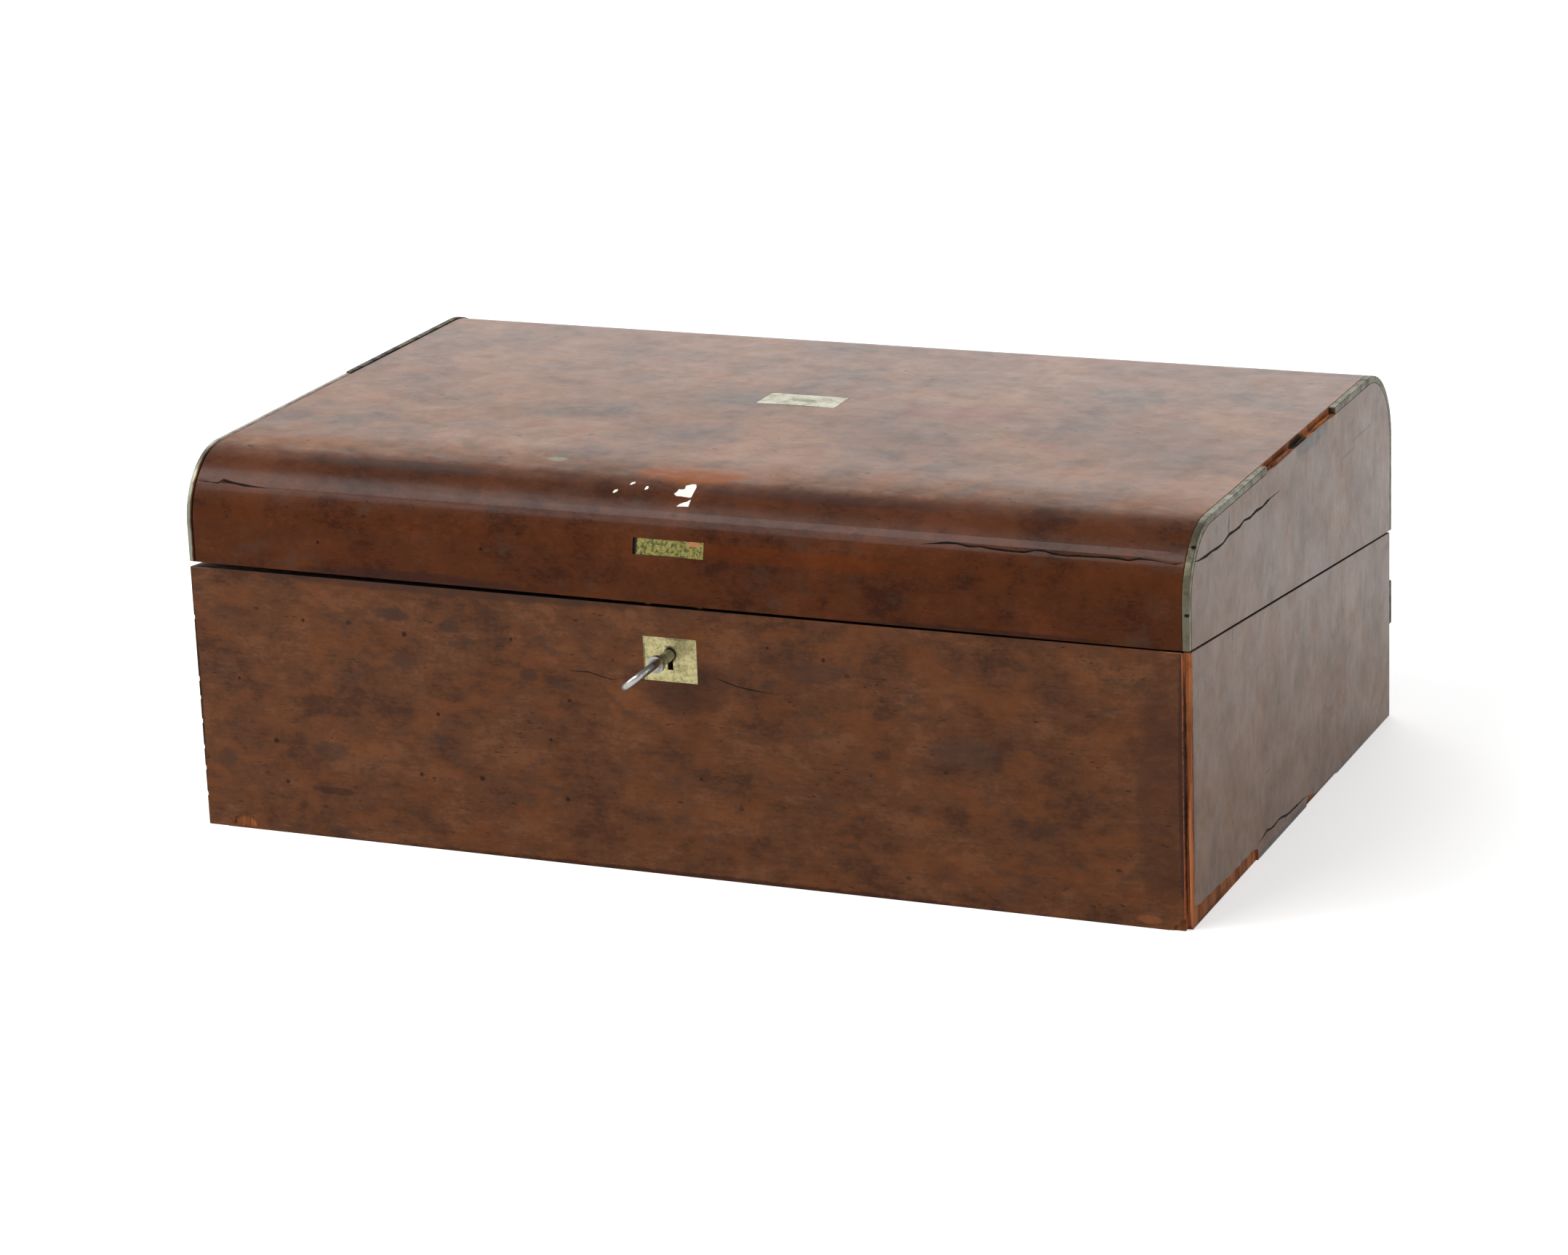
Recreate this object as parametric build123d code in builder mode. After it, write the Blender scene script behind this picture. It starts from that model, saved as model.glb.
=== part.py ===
"""Mahogany writing box whose case is cut along a slope, so that it opens flat into a writing desk.

Lengths are in millimetres. +Z is up, the keyhole faces -Y, and the origin lies on the floor
under the middle of the case.
"""

import os
from math import atan2, cos, degrees, radians, sin

from build123d import *

# Case: outer sizes, and the slope that the saw followed between base and lid
width = 420.0
depth = 272.0
height = 155.0
lid_front_height = 45.5
lid_back_height = 74.5
front_radius = 28.0
back_radius = 34.0

# Boards
side_board = 9.0
front_board = 12.0
back_board = 10.0
top_board = 9.0
bottom_board = 6.0
partition = 4.0

# Edging let into the corners, and the lengths of it that are left
edging = 2.8
left_edging_length = 139.7
left_edging_break = 0.4
left_rear_lift = 0.5
right_edging_length = 97.3
right_edging_lost = 92.2
remnant_bottom = 40.5
remnant_length = 18.8
remnant_chamfer = 0.4

# Clearances
rim_gap = 0.6
left_rim_gap = 2.0
flap_gap = 0.6
flap_end_gap = 0.5
seat_gap = 0.2
pin_gap = 0.05
hinge_gap = 0.25
lock_gap = 0.4

# Box hinges, let into the rims, with their barrels behind the case
hinge_length = 58.0
hinge_inset = 70.0
hinge_leaf = 1.5
hinge_leaf_width = 9.0
hinge_barrel = 2.6
hinge_pin = 1.3
hinge_overhang = 0.35
hinge_knuckles = 5
screw_head = 2.6
screw_shank = 1.2
screw_length = 9.0
screw_spacing = 20.0
screw_slot = 0.7
screw_slot_depth = 0.6
screw_row_shift = 0.6

# Writing flaps with their leather
flap_board = 6.0
flap_recess = 1.0
leather = 1.0
leather_border = 13.0
flap_hinge_length = 24.0
base_flap_hinge_inset = 140.0
lid_flap_hinge_inset = 106.0
flap_barrel = 1.4
flap_pin = 0.7
flap_leaf = 0.9
flap_leaf_height = 5.0
flap_axis_drop = 0.2
lid_flap_rise = 0.4
finger_notch = 9.0
ledge_width = 6.0
ledge_height = 7.0
ledge_end = 2.0

# Pen section at the front of the base
pen_section = 48.0
ink_room = 48.0
stamp_room = 46.0
tray_height = 15.0
tray_drop = 2.5
tray_gap = 0.4
tray_groove_radius = 22.0
tray_groove_depth = 9.5
tray_end_land = 9.0
tray_ledge = 4.0
tray_ledge_height = 5.0
tray_edge = 0.8

# Inkwells
well_side = 40.0
well_body = 29.0
well_corner = 6.5
well_shoulder = 5.5
neck_radius = 11.0
neck_height = 6.0
mouth_radius = 7.5
bottle_radius = 13.0
bottle_floor = 6.0
collar_wall = 1.2
collar_height = 3.5
cap_radius = 13.0
cap_height = 6.5
cap_round = 2.4
cap_drop = 3.0
cap_room = 1.5

# Lock, its keyhole plate and the link plate above it
key_drop = 18.8
plate_width = 22.6
plate_height = 17.8
plate_drop = 29.9
plate_thickness = 1.2
keyhole_radius = 2.6
keyhole_slot = 2.3
keyhole_reach = 6.3
keyhole_ease = 0.4
lock_width = 50.0
lock_height = 30.0
lock_depth = 8.0
lock_wall = 1.1
selvedge_width = 66.0
selvedge_depth = 8.0
selvedge_thickness = 1.6
selvedge_slot_shift = 0.2
guide_height = 2.0
bolt_throw = 4.3
bolt_thickness = 2.2
bolt_bottom_gap = 1.4
bolt_bar = 2.9
bolt_bar_left = 22.6
bolt_bar_right = 19.0
talon_width = 13.0
talon_depth = 2.9
talon_lug = 5.0
finger_height = 2.6
finger_length = 5.0
finger_post = 3.0
finger_gap = 0.9
trim_length = 10.0
staple_place = 11.0
staple_thickness = 2.0
staple_width = 4.6
staple_wall = 1.0
link_width = 40.0
link_screw_place = 16.5
selvedge_screw_place = 28.5

# Key
key_turn_at_rest = 52.0
key_shank = 2.3
key_bore = 1.15
drill_pin = 0.95
bit_reach = 6.0
bit_thickness = 1.8
bit_width = 4.6
bit_ward = 1.0
bow_start = 14.0
bow_length = 24.0
bow_width = 17.0
bow_rim = 2.9
bow_end_radius = 5.2
collar_radius = 3.4
collar_length = 2.4

# Plates let into the lid
nameplate_width = 34.5
nameplate_depth = 17.0
nameplate_x = -2.5
nameplate_y = 9.9
nameplate_thickness = 1.0
inlay_width = 28.4
inlay_x = 1.5
inlay_height = 6.3
inlay_drop = 25.1
inlay_thickness = 1.0
inlay_slot = 1.3

# Values that follow from the sizes above
half_width = width / 2
half_depth = depth / 2
base_front_height = height - lid_front_height
base_back_height = height - lid_back_height
inner_half = half_width - side_board
inner_width = 2 * inner_half
front_inner = -half_depth + front_board
back_inner = half_depth - back_board
slope = degrees(atan2(base_front_height - base_back_height, depth))
slope_sin = sin(radians(slope))
slope_cos = cos(radians(slope))
rim = Plane(origin=(0, half_depth, base_back_height), x_dir=(1, 0, 0), z_dir=(0, slope_sin, slope_cos))
hinge_place = half_width - hinge_inset
key_height = base_front_height - key_drop
plate_middle = base_front_height - plate_drop + plate_height / 2


def rim_height(y):
    """Height of the base's rim at a distance y from the middle of the case."""
    return base_back_height + (half_depth - y) * (base_front_height - base_back_height) / depth


def on_rim(y, rise=0.0):
    """Distance along the slope, from the rim's back edge, of a vertical face at y, rise above the rim."""
    return (y - half_depth - rise * slope_sin) / slope_cos


def draw_base_outline(front, back, drop=0.0):
    """Draw the base's side outline between two distances, drop below the rim."""
    with BuildLine() as outline:
        Polyline(
            (front, 0),
            (back, 0),
            (back, rim_height(back) - drop),
            (front, rim_height(front) - drop),
            close=True,
        )
    make_face(outline.edges())


def draw_lid_outline(front_in=0.0, top_in=0.0, back_in=0.0, lift=rim_gap, mode=Mode.ADD):
    """Draw the lid's side outline, moved in from its outer faces, lift above the rim."""
    front = -half_depth + front_in
    back = half_depth - back_in
    top = height - top_in
    front_round = front_radius - max(front_in, top_in)
    back_round = back_radius - max(back_in, top_in)
    with BuildLine() as outline:
        Line((front, rim_height(front) + lift), (front, top - front_round))
        CenterArc((front + front_round, top - front_round), front_round, 180, -90)
        Line((front + front_round, top), (back - back_round, top))
        CenterArc((back - back_round, top - back_round), back_round, 90, -90)
        Line((back, top - back_round), (back, rim_height(back) + lift))
        Line((back, rim_height(back) + lift), (front, rim_height(front) + lift))
    make_face(outline.edges(), mode=mode)


def draw_keyhole(ease=0.0, mode=Mode.ADD):
    """Draw a keyhole, wider by ease all round, about the key's axis."""
    Circle(keyhole_radius + ease, mode=mode)
    slot_length = keyhole_reach + ease
    with Locations((0, -slot_length / 2)):
        Rectangle(keyhole_slot + 2 * ease, slot_length, mode=mode)


def save(part, name):
    """Label a finished piece and write its file."""
    part.label = name
    os.makedirs("parts", exist_ok=True)
    export_step(part, f"parts/{name}.step")


# Screws with countersunk heads, pointing down the plane that they are placed on
with BuildPart() as screw_form:
    with BuildSketch(Plane.XZ):
        with BuildLine():
            Polyline(
                (0, 0),
                (screw_head, 0),
                (screw_shank, screw_shank - screw_head),
                (screw_shank, -screw_length),
                (0, -screw_length),
                close=True,
            )
        make_face()
    revolve(axis=Axis.Z)
    with BuildSketch(Plane.XY):
        Rectangle(2 * screw_head, screw_slot)
    extrude(amount=-screw_slot_depth, mode=Mode.SUBTRACT)
screw = screw_form.part

with BuildPart() as screw_hole_form:
    with BuildSketch(Plane.XZ):
        with BuildLine():
            Polyline(
                (0, pin_gap),
                (screw_head + pin_gap, pin_gap),
                (screw_head + pin_gap, 0),
                (screw_shank + pin_gap, screw_shank - screw_head),
                (screw_shank + pin_gap, -screw_length - pin_gap),
                (0, -screw_length - pin_gap),
                close=True,
            )
        make_face()
    revolve(axis=Axis.Z)
screw_hole = screw_hole_form.part

# Seat that a small flap hinge needs: a bore for the barrel and a slot for both leaves below it
with BuildPart() as flap_hinge_seat_form:
    Cylinder(flap_barrel + hinge_gap, flap_hinge_length + 2 * hinge_gap, rotation=(0, 90, 0))
    Box(
        flap_hinge_length,
        2 * (flap_leaf + 2 * pin_gap),
        flap_leaf_height,
        align=(Align.CENTER, Align.CENTER, Align.MAX),
    )
flap_hinge_seat = flap_hinge_seat_form.part
lid_flap_hinge_seat = mirror(flap_hinge_seat, about=Plane.XY)

# Bore that both rims need for the barrel of a box hinge
with BuildPart() as box_hinge_bore_form:
    Cylinder(hinge_barrel + hinge_gap, hinge_length + 2 * hinge_gap, rotation=(0, 90, 0))
box_hinge_bore = box_hinge_bore_form.part

# Places on the slope that several pieces share
hinge_rise = rim_gap / 2
hinge_s = on_rim(half_depth + hinge_overhang, hinge_rise)
hinge_axis = Plane(
    origin=rim.from_local_coords((0, hinge_s, hinge_rise)),
    x_dir=(1, 0, 0),
    z_dir=rim.z_dir,
)
lid_under = rim.offset(rim_gap)
lid_facing_down = Plane(origin=lid_under.origin, x_dir=(1, 0, 0), z_dir=-rim.z_dir)
leaf_middle = -(hinge_leaf_width / 2)
screw_row = leaf_middle - screw_row_shift
hinge_screws = [
    (side * hinge_place + step * screw_spacing, screw_row) for side in (-1, 1) for step in (-1, 0, 1)
]
selvedge_middle = on_rim(front_inner - lock_depth / 2)
selvedge_screws = [(side * selvedge_screw_place, selvedge_middle) for side in (-1, 1)]
link_screws_at = [(side * link_screw_place, selvedge_middle) for side in (-1, 1)]


def draw_keyhole_plate():
    """Draw the keyhole plate's outline on the front."""
    with Locations((0, plate_middle)):
        Rectangle(plate_width, plate_height)


# Base: front board, with the pocket for the lock, the keyhole and the seat of its plate
lock_middle_y = front_inner - lock_depth / 2
lock_bottom = base_front_height - lock_height - selvedge_thickness
with BuildPart() as base_front:
    with BuildSketch(Plane.YZ.offset(-inner_half)):
        draw_base_outline(-half_depth, front_inner)
    extrude(amount=inner_width)
    with Locations((0, front_inner, lock_bottom)):
        Box(
            lock_width,
            lock_depth,
            lock_height + trim_length,
            align=(Align.CENTER, Align.MAX, Align.MIN),
            mode=Mode.SUBTRACT,
        )
    with BuildSketch(rim):
        with Locations((0, selvedge_middle)):
            Rectangle(selvedge_width, selvedge_depth)
    extrude(amount=-selvedge_thickness, mode=Mode.SUBTRACT)
    with BuildSketch(Plane.XZ.offset(half_depth)):
        draw_keyhole_plate()
    extrude(amount=-plate_thickness, mode=Mode.SUBTRACT)
    with BuildSketch(Plane.XZ.offset(half_depth)):
        with Locations((0, key_height)):
            draw_keyhole(keyhole_ease)
    extrude(amount=-front_board, mode=Mode.SUBTRACT)
    with Locations(rim):
        with Locations([(x, y, 0) for x, y in selvedge_screws]):
            add(screw_hole, mode=Mode.SUBTRACT)
save(base_front.part, "base_front")

# Base: back board, with the seats of the hinges
base_flap_axis = on_rim(back_inner) - flap_gap / 2
base_flap_axis_height = -flap_recess - flap_axis_drop
base_flap_hinge_place = half_width - base_flap_hinge_inset
base_flap_hinges = [
    (side * base_flap_hinge_place, base_flap_axis, base_flap_axis_height) for side in (-1, 1)
]
with BuildPart() as base_back:
    with BuildSketch(Plane.YZ.offset(-inner_half)):
        draw_base_outline(back_inner, half_depth)
    extrude(amount=inner_width)
    with BuildSketch(rim):
        with Locations((-hinge_place, leaf_middle), (hinge_place, leaf_middle)):
            Rectangle(hinge_length, hinge_leaf_width + 2 * hinge_overhang)
    extrude(amount=-hinge_leaf, mode=Mode.SUBTRACT)
    with Locations(hinge_axis):
        with Locations((-hinge_place, 0, 0), (hinge_place, 0, 0)):
            add(box_hinge_bore, mode=Mode.SUBTRACT)
    with Locations(rim):
        with Locations([(x, y, 0) for x, y in hinge_screws]):
            add(screw_hole, mode=Mode.SUBTRACT)
        with Locations(base_flap_hinges):
            add(flap_hinge_seat, mode=Mode.SUBTRACT)
save(base_back.part, "base_back")

# Base: side boards, of which the right one's corners have lost their edging and show open rebates
open_corners = [(half_width, -half_depth), (half_width, half_depth)]
for side, name in ((-1, "base_side_left"), (1, "base_side_right")):
    with BuildPart() as base_side:
        with BuildSketch(Plane.YZ.offset(side * half_width)):
            draw_base_outline(-half_depth, half_depth)
        extrude(amount=-side * side_board)
        with BuildSketch(Plane.XY):
            with Locations(open_corners):
                Rectangle(2 * edging, 2 * edging)
        extrude(amount=height, mode=Mode.SUBTRACT)
    save(base_side.part, name)

# A short length of edging is left in the right back corner
with BuildPart() as corner_remnant:
    with BuildSketch(Plane.XY.offset(remnant_bottom)):
        with Locations((half_width - edging / 2, half_depth - edging / 2)):
            Rectangle(edging, edging)
    extrude(amount=remnant_length)
    chamfer(corner_remnant.edges().group_by(Axis.Z)[-1], remnant_chamfer)
save(corner_remnant.part, "corner_edging_remnant")

# Base: bottom board, glued in between the walls
with BuildPart() as base_bottom:
    with BuildSketch(Plane.XY):
        with Locations((0, (front_inner + back_inner) / 2)):
            Rectangle(inner_width, back_inner - front_inner)
    extrude(amount=bottom_board)
save(base_bottom.part, "base_bottom")

# Pen section: the long partition and the three cross partitions
section_back = front_inner + pen_section
well_front = section_back + partition
partition_drop = flap_recess
with BuildPart() as pen_partition:
    with BuildSketch(Plane.YZ.offset(-inner_half)):
        with BuildLine():
            Polyline(
                (section_back, bottom_board),
                (well_front, bottom_board),
                (well_front, rim_height(well_front) - partition_drop),
                (section_back, rim_height(section_back) - partition_drop),
                close=True,
            )
        make_face()
    extrude(amount=inner_width)
save(pen_partition.part, "pen_partition")

tray_left = -inner_half + ink_room + partition
stamp_right = inner_half - ink_room - partition
stamp_left = stamp_right - stamp_room
tray_right = stamp_left - partition
tray_y = (front_inner + section_back) / 2
tray_top = rim_height(section_back) - tray_drop
tray_bottom = tray_top - tray_height


def cross_partition(x_left, ledge_side):
    """Build a cross partition with its left face at x_left, and a tray ledge on one side, or on none."""
    with BuildPart() as board:
        with BuildSketch(Plane.YZ.offset(x_left)):
            with BuildLine():
                Polyline(
                    (front_inner, bottom_board),
                    (section_back, bottom_board),
                    (section_back, rim_height(section_back) - partition_drop),
                    (front_inner, rim_height(front_inner) - partition_drop),
                    close=True,
                )
            make_face()
        extrude(amount=partition)
        if ledge_side:
            ledge_x = x_left + partition / 2 + ledge_side * (partition + tray_ledge) / 2
            with Locations((ledge_x, tray_y, tray_bottom)):
                Box(
                    tray_ledge,
                    pen_section,
                    tray_ledge_height,
                    align=(Align.CENTER, Align.CENTER, Align.MAX),
                )
    return board.part


save(cross_partition(tray_left - partition, 1), "ink_partition_left")
save(cross_partition(tray_right, -1), "tray_partition")
save(cross_partition(stamp_right, 0), "ink_partition_right")

# Pen tray: a solid block with a scooped groove
tray_length = tray_right - tray_left - 2 * tray_gap
tray_width = pen_section - 2 * tray_gap
tray_x = (tray_left + tray_right) / 2
groove_axis = tray_top + tray_groove_radius - tray_groove_depth
with BuildPart() as pen_tray:
    with Locations((tray_x, tray_y, tray_bottom)):
        Box(tray_length, tray_width, tray_height, align=(Align.CENTER, Align.CENTER, Align.MIN))
    with Locations((tray_x, tray_y, groove_axis)):
        Cylinder(
            tray_groove_radius, tray_length - 2 * tray_end_land, rotation=(0, 90, 0), mode=Mode.SUBTRACT
        )
    fillet(pen_tray.edges().filter_by(Axis.X).group_by(Axis.Z)[-1], tray_edge)
save(pen_tray.part, "pen_tray")

# Raised floors that carry the inkwells
well_total = well_body + neck_height + cap_height - cap_drop
floor_top = tray_top - well_total - cap_room
for side, name in ((-1, "ink_floor_left"), (1, "ink_floor_right")):
    with BuildPart() as ink_floor:
        with Locations((side * (inner_half - ink_room / 2), tray_y, floor_top)):
            Box(ink_room, pen_section, partition, align=(Align.CENTER, Align.CENTER, Align.MAX))
    save(ink_floor.part, name)

# Inkwells: pressed glass bottle, brass collar and domed brass cap
for side, suffix in ((-1, "left"), (1, "right")):
    well_at = Plane(origin=(side * (inner_half - ink_room / 2), tray_y, floor_top))
    neck_top = well_body + neck_height
    with BuildPart() as inkwell:
        with BuildSketch(well_at):
            RectangleRounded(well_side, well_side, well_corner)
        extrude(amount=well_body)
        chamfer(inkwell.edges().group_by(Axis.Z)[-1], well_shoulder)
        with BuildSketch(well_at.offset(well_body)):
            Circle(neck_radius)
        extrude(amount=neck_height)
        with BuildSketch(Plane(well_at.origin, x_dir=(1, 0, 0), z_dir=(0, -1, 0))):
            with BuildLine():
                Polyline(
                    (0, bottle_floor),
                    (bottle_radius, bottle_floor),
                    (bottle_radius, well_body - well_shoulder),
                    (mouth_radius, well_body),
                    (mouth_radius, neck_top),
                    (0, neck_top),
                    close=True,
                )
            make_face()
        revolve(axis=Axis(well_at.origin, (0, 0, 1)), mode=Mode.SUBTRACT)
    save(inkwell.part, f"inkwell_{suffix}")

    with BuildPart() as collar:
        with BuildSketch(well_at.offset(well_body)):
            Circle(neck_radius + collar_wall)
            Circle(neck_radius, mode=Mode.SUBTRACT)
        extrude(amount=collar_height - cap_drop / 2)
    save(collar.part, f"inkwell_collar_{suffix}")

    cap_low = neck_top - cap_drop
    with BuildPart() as cap:
        with BuildSketch(well_at.offset(cap_low)):
            Circle(cap_radius)
        extrude(amount=cap_height)
        fillet(cap.edges().group_by(Axis.Z)[-1], cap_round)
        with BuildSketch(well_at.offset(cap_low)):
            Circle(neck_radius + pin_gap)
        extrude(amount=cap_drop + pin_gap, mode=Mode.SUBTRACT)
    save(cap.part, f"inkwell_cap_{suffix}")

# Ledges under the base flap, glued to the side boards
base_flap_front = on_rim(well_front, -flap_recess - flap_board) + flap_end_gap
base_flap_back = base_flap_axis - flap_gap / 2
base_flap_middle = (base_flap_front + base_flap_back) / 2
base_flap_length = base_flap_back - base_flap_front
flap_half = inner_half - flap_gap
ledge_top = -flap_recess - flap_board - seat_gap
with BuildPart() as base_flap_ledges:
    with BuildSketch(rim.offset(ledge_top)):
        with Locations([(side * (inner_half - ledge_width / 2), base_flap_middle) for side in (-1, 1)]):
            Rectangle(ledge_width, base_flap_length - 2 * ledge_end)
    extrude(amount=-ledge_height)
save(base_flap_ledges.part, "base_flap_ledges")


def butt_leaf(length, count, first, barrel, bore, plate_y, plate_z):
    """Build one leaf of a butt hinge about an axis along X through the origin.

    count is the number of knuckles, of which this leaf has every second one from first, and
    plate_y and plate_z are the lowest and highest places of its plate.
    """
    step = length / count
    places = [(index, (index + 0.5) * step - length / 2) for index in range(count)]
    with BuildPart() as leaf:
        with Locations((0, sum(plate_y) / 2, sum(plate_z) / 2)):
            Box(length, plate_y[1] - plate_y[0], plate_z[1] - plate_z[0])
        with Locations([(x, 0, 0) for index, x in places if index % 2 != first]):
            Cylinder(barrel + hinge_gap, step + 2 * pin_gap, rotation=(0, 90, 0), mode=Mode.SUBTRACT)
        with Locations([(x, 0, 0) for index, x in places if index % 2 == first]):
            Cylinder(barrel, step - 2 * pin_gap, rotation=(0, 90, 0))
        Cylinder(bore, length + 1, rotation=(0, 90, 0), mode=Mode.SUBTRACT)
    return leaf.part


def hinge_pin_form(length, radius):
    """Build a hinge pin along X, with its two ends eased."""
    with BuildPart() as pin:
        Cylinder(radius, length, rotation=(0, 90, 0))
        chamfer(pin.edges().filter_by(GeomType.CIRCLE), radius / 4)
    return pin.part


# Box hinges: a leaf in the base's rim, a leaf in the lid's and a steel pin through both
plate_back = (-hinge_leaf_width - hinge_overhang, 0)
plate_low = (-hinge_rise - hinge_leaf, -hinge_rise)
plate_high = (hinge_rise, hinge_rise + hinge_leaf)
box_bore = hinge_pin + pin_gap
box_leaf_base = butt_leaf(hinge_length, hinge_knuckles, 0, hinge_barrel, box_bore, plate_back, plate_low)
box_leaf_lid = butt_leaf(hinge_length, hinge_knuckles, 1, hinge_barrel, box_bore, plate_back, plate_high)
box_pin = hinge_pin_form(hinge_length, hinge_pin)
for side, suffix in ((-1, "left"), (1, "right")):
    with BuildPart() as base_leaf:
        with Locations(hinge_axis):
            with Locations((side * hinge_place, 0, 0)):
                add(box_leaf_base)
        with Locations(rim):
            with Locations([(x, y, 0) for x, y in hinge_screws if x * side > 0]):
                add(screw_hole, mode=Mode.SUBTRACT)
    save(base_leaf.part, f"hinge_base_leaf_{suffix}")

    with BuildPart() as lid_leaf:
        with Locations(hinge_axis):
            with Locations((side * hinge_place, 0, 0)):
                add(box_leaf_lid)
        with Locations(lid_facing_down):
            with Locations([(x, -y, 0) for x, y in hinge_screws if x * side > 0]):
                add(screw_hole, mode=Mode.SUBTRACT)
    save(lid_leaf.part, f"hinge_lid_leaf_{suffix}")

    with BuildPart() as box_hinge_pin:
        with Locations(hinge_axis):
            with Locations((side * hinge_place, 0, 0)):
                add(box_pin)
    save(box_hinge_pin.part, f"hinge_pin_{suffix}")

with BuildPart() as hinge_base_screws:
    with Locations(rim):
        with Locations([(x, y, 0) for x, y in hinge_screws]):
            add(screw)
save(hinge_base_screws.part, "hinge_base_screws")

with BuildPart() as hinge_lid_screws:
    with Locations(lid_facing_down):
        with Locations([(x, -y, 0) for x, y in hinge_screws]):
            add(screw)
save(hinge_lid_screws.part, "hinge_lid_screws")

# Flaps: each a board with a sunk leather panel, a finger notch and two small hinges
leaf_near = (pin_gap, pin_gap + flap_leaf)
leaf_far = (-pin_gap - flap_leaf, -pin_gap)
leaf_bore = flap_pin + pin_gap
flap_pin_form = hinge_pin_form(flap_hinge_length, flap_pin)


def save_flap(name, face, inward, front, back, hinges, seat):
    """Save a flap's board and leather, lying on the plane face and going inward from it."""
    middle = (front + back) / 2
    length = back - front
    with BuildPart() as panel:
        with BuildSketch(face):
            with Locations((0, middle)):
                Rectangle(2 * (flap_half - leather_border), length - 2 * leather_border)
        extrude(amount=inward * leather)
    save(panel.part, f"{name}_leather")

    with BuildPart() as board:
        with BuildSketch(face):
            with Locations((0, middle)):
                Rectangle(2 * flap_half, length)
            with Locations((0, front)):
                Circle(finger_notch, mode=Mode.SUBTRACT)
        extrude(amount=inward * flap_board)
        add(panel.part, mode=Mode.SUBTRACT)
        with Locations(rim):
            with Locations(hinges):
                add(seat, mode=Mode.SUBTRACT)
    save(board.part, name)


def save_flap_hinges(name, inward, hinges):
    """Save a flap's two hinges: the fixed leaves, the moving leaves and the pins."""
    plate_z = tuple(sorted((0, inward * flap_leaf_height)))
    fixed = butt_leaf(flap_hinge_length, 3, 0, flap_barrel, leaf_bore, leaf_near, plate_z)
    moving = butt_leaf(flap_hinge_length, 3, 1, flap_barrel, leaf_bore, leaf_far, plate_z)
    for form, ending in ((fixed, "fixed_leaves"), (moving, "moving_leaves"), (flap_pin_form, "pins")):
        with BuildPart() as pieces:
            with Locations(rim):
                with Locations(hinges):
                    add(form)
        save(pieces.part, f"{name}_hinge_{ending}")


base_flap_face = rim.offset(-flap_recess)
save_flap(
    "base_flap", base_flap_face, -1, base_flap_front, base_flap_back, base_flap_hinges, flap_hinge_seat
)
save_flap_hinges("base_flap", -1, base_flap_hinges)

# Lid: front, top and back boards, rounded outside and inside
front_shoulder = -half_depth + front_radius
back_shoulder = half_depth - back_radius
link_rise = (rim_gap + left_rim_gap) / 2
link_under = rim.offset(link_rise)
link_facing_down = Plane(origin=link_under.origin, x_dir=(1, 0, 0), z_dir=-rim.z_dir)
warp = (left_rim_gap - rim_gap) / width
front_under = Plane(
    origin=rim.from_local_coords((half_width, 0, rim_gap)),
    z_dir=rim.z_dir + Vector(warp, 0, 0),
)
lid_flap_under = left_rim_gap + lid_flap_rise
lid_flap_axis_height = lid_flap_under + flap_axis_drop
lid_flap_back_face = on_rim(back_inner, lid_flap_under + flap_board)
lid_flap_axis = lid_flap_back_face - flap_gap
lid_flap_hinge_place = half_width - lid_flap_hinge_inset
lid_flap_hinges = [(side * lid_flap_hinge_place, lid_flap_axis, lid_flap_axis_height) for side in (-1, 1)]
inlay_middle = height - inlay_drop + inlay_height / 2


def draw_link_plate():
    """Draw the link plate's outline on the lid's rim."""
    with Locations((0, selvedge_middle)):
        Rectangle(link_width, selvedge_depth)


def draw_inlay():
    """Draw the front inlay's section, which follows the lid's rounded front."""
    draw_lid_outline()
    draw_lid_outline(inlay_thickness, inlay_thickness, inlay_thickness, mode=Mode.SUBTRACT)
    with Locations((-half_depth, inlay_middle)):
        Rectangle(2 * front_radius, inlay_height, mode=Mode.INTERSECT)


def draw_nameplate():
    """Draw the nameplate's outline on the lid's top."""
    with Locations((nameplate_x, nameplate_y)):
        Rectangle(nameplate_width, nameplate_depth)


def lid_board_section(y_low, y_high):
    """Draw the part of the lid's hollow wall that lies between two distances."""
    draw_lid_outline()
    draw_lid_outline(front_board, top_board, back_board, lift=-front_board, mode=Mode.SUBTRACT)
    with Locations(((y_low + y_high) / 2, height / 2)):
        Rectangle(y_high - y_low, 2 * height, mode=Mode.INTERSECT)


with BuildPart() as lid_front:
    with BuildSketch(Plane.YZ.offset(-inner_half)):
        lid_board_section(-depth, front_shoulder)
    extrude(amount=inner_width)
    split(bisect_by=front_under, keep=Keep.TOP)
    with BuildSketch(link_under):
        draw_link_plate()
    extrude(amount=selvedge_thickness, mode=Mode.SUBTRACT)
    with BuildSketch(link_under):
        draw_link_plate()
    extrude(amount=-selvedge_thickness, mode=Mode.SUBTRACT)
    with Locations(link_facing_down):
        with Locations([(x, -y, 0) for x, y in link_screws_at]):
            add(screw_hole, mode=Mode.SUBTRACT)
    with BuildSketch(Plane.YZ.offset(inlay_x - inlay_width / 2 - inlay_slot)):
        draw_inlay()
    extrude(amount=inlay_width + inlay_slot, mode=Mode.SUBTRACT)
save(lid_front.part, "lid_front")

with BuildPart() as front_inlay:
    with BuildSketch(Plane.YZ.offset(inlay_x - inlay_width / 2)):
        draw_inlay()
    extrude(amount=inlay_width)
save(front_inlay.part, "front_inlay")

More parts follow.
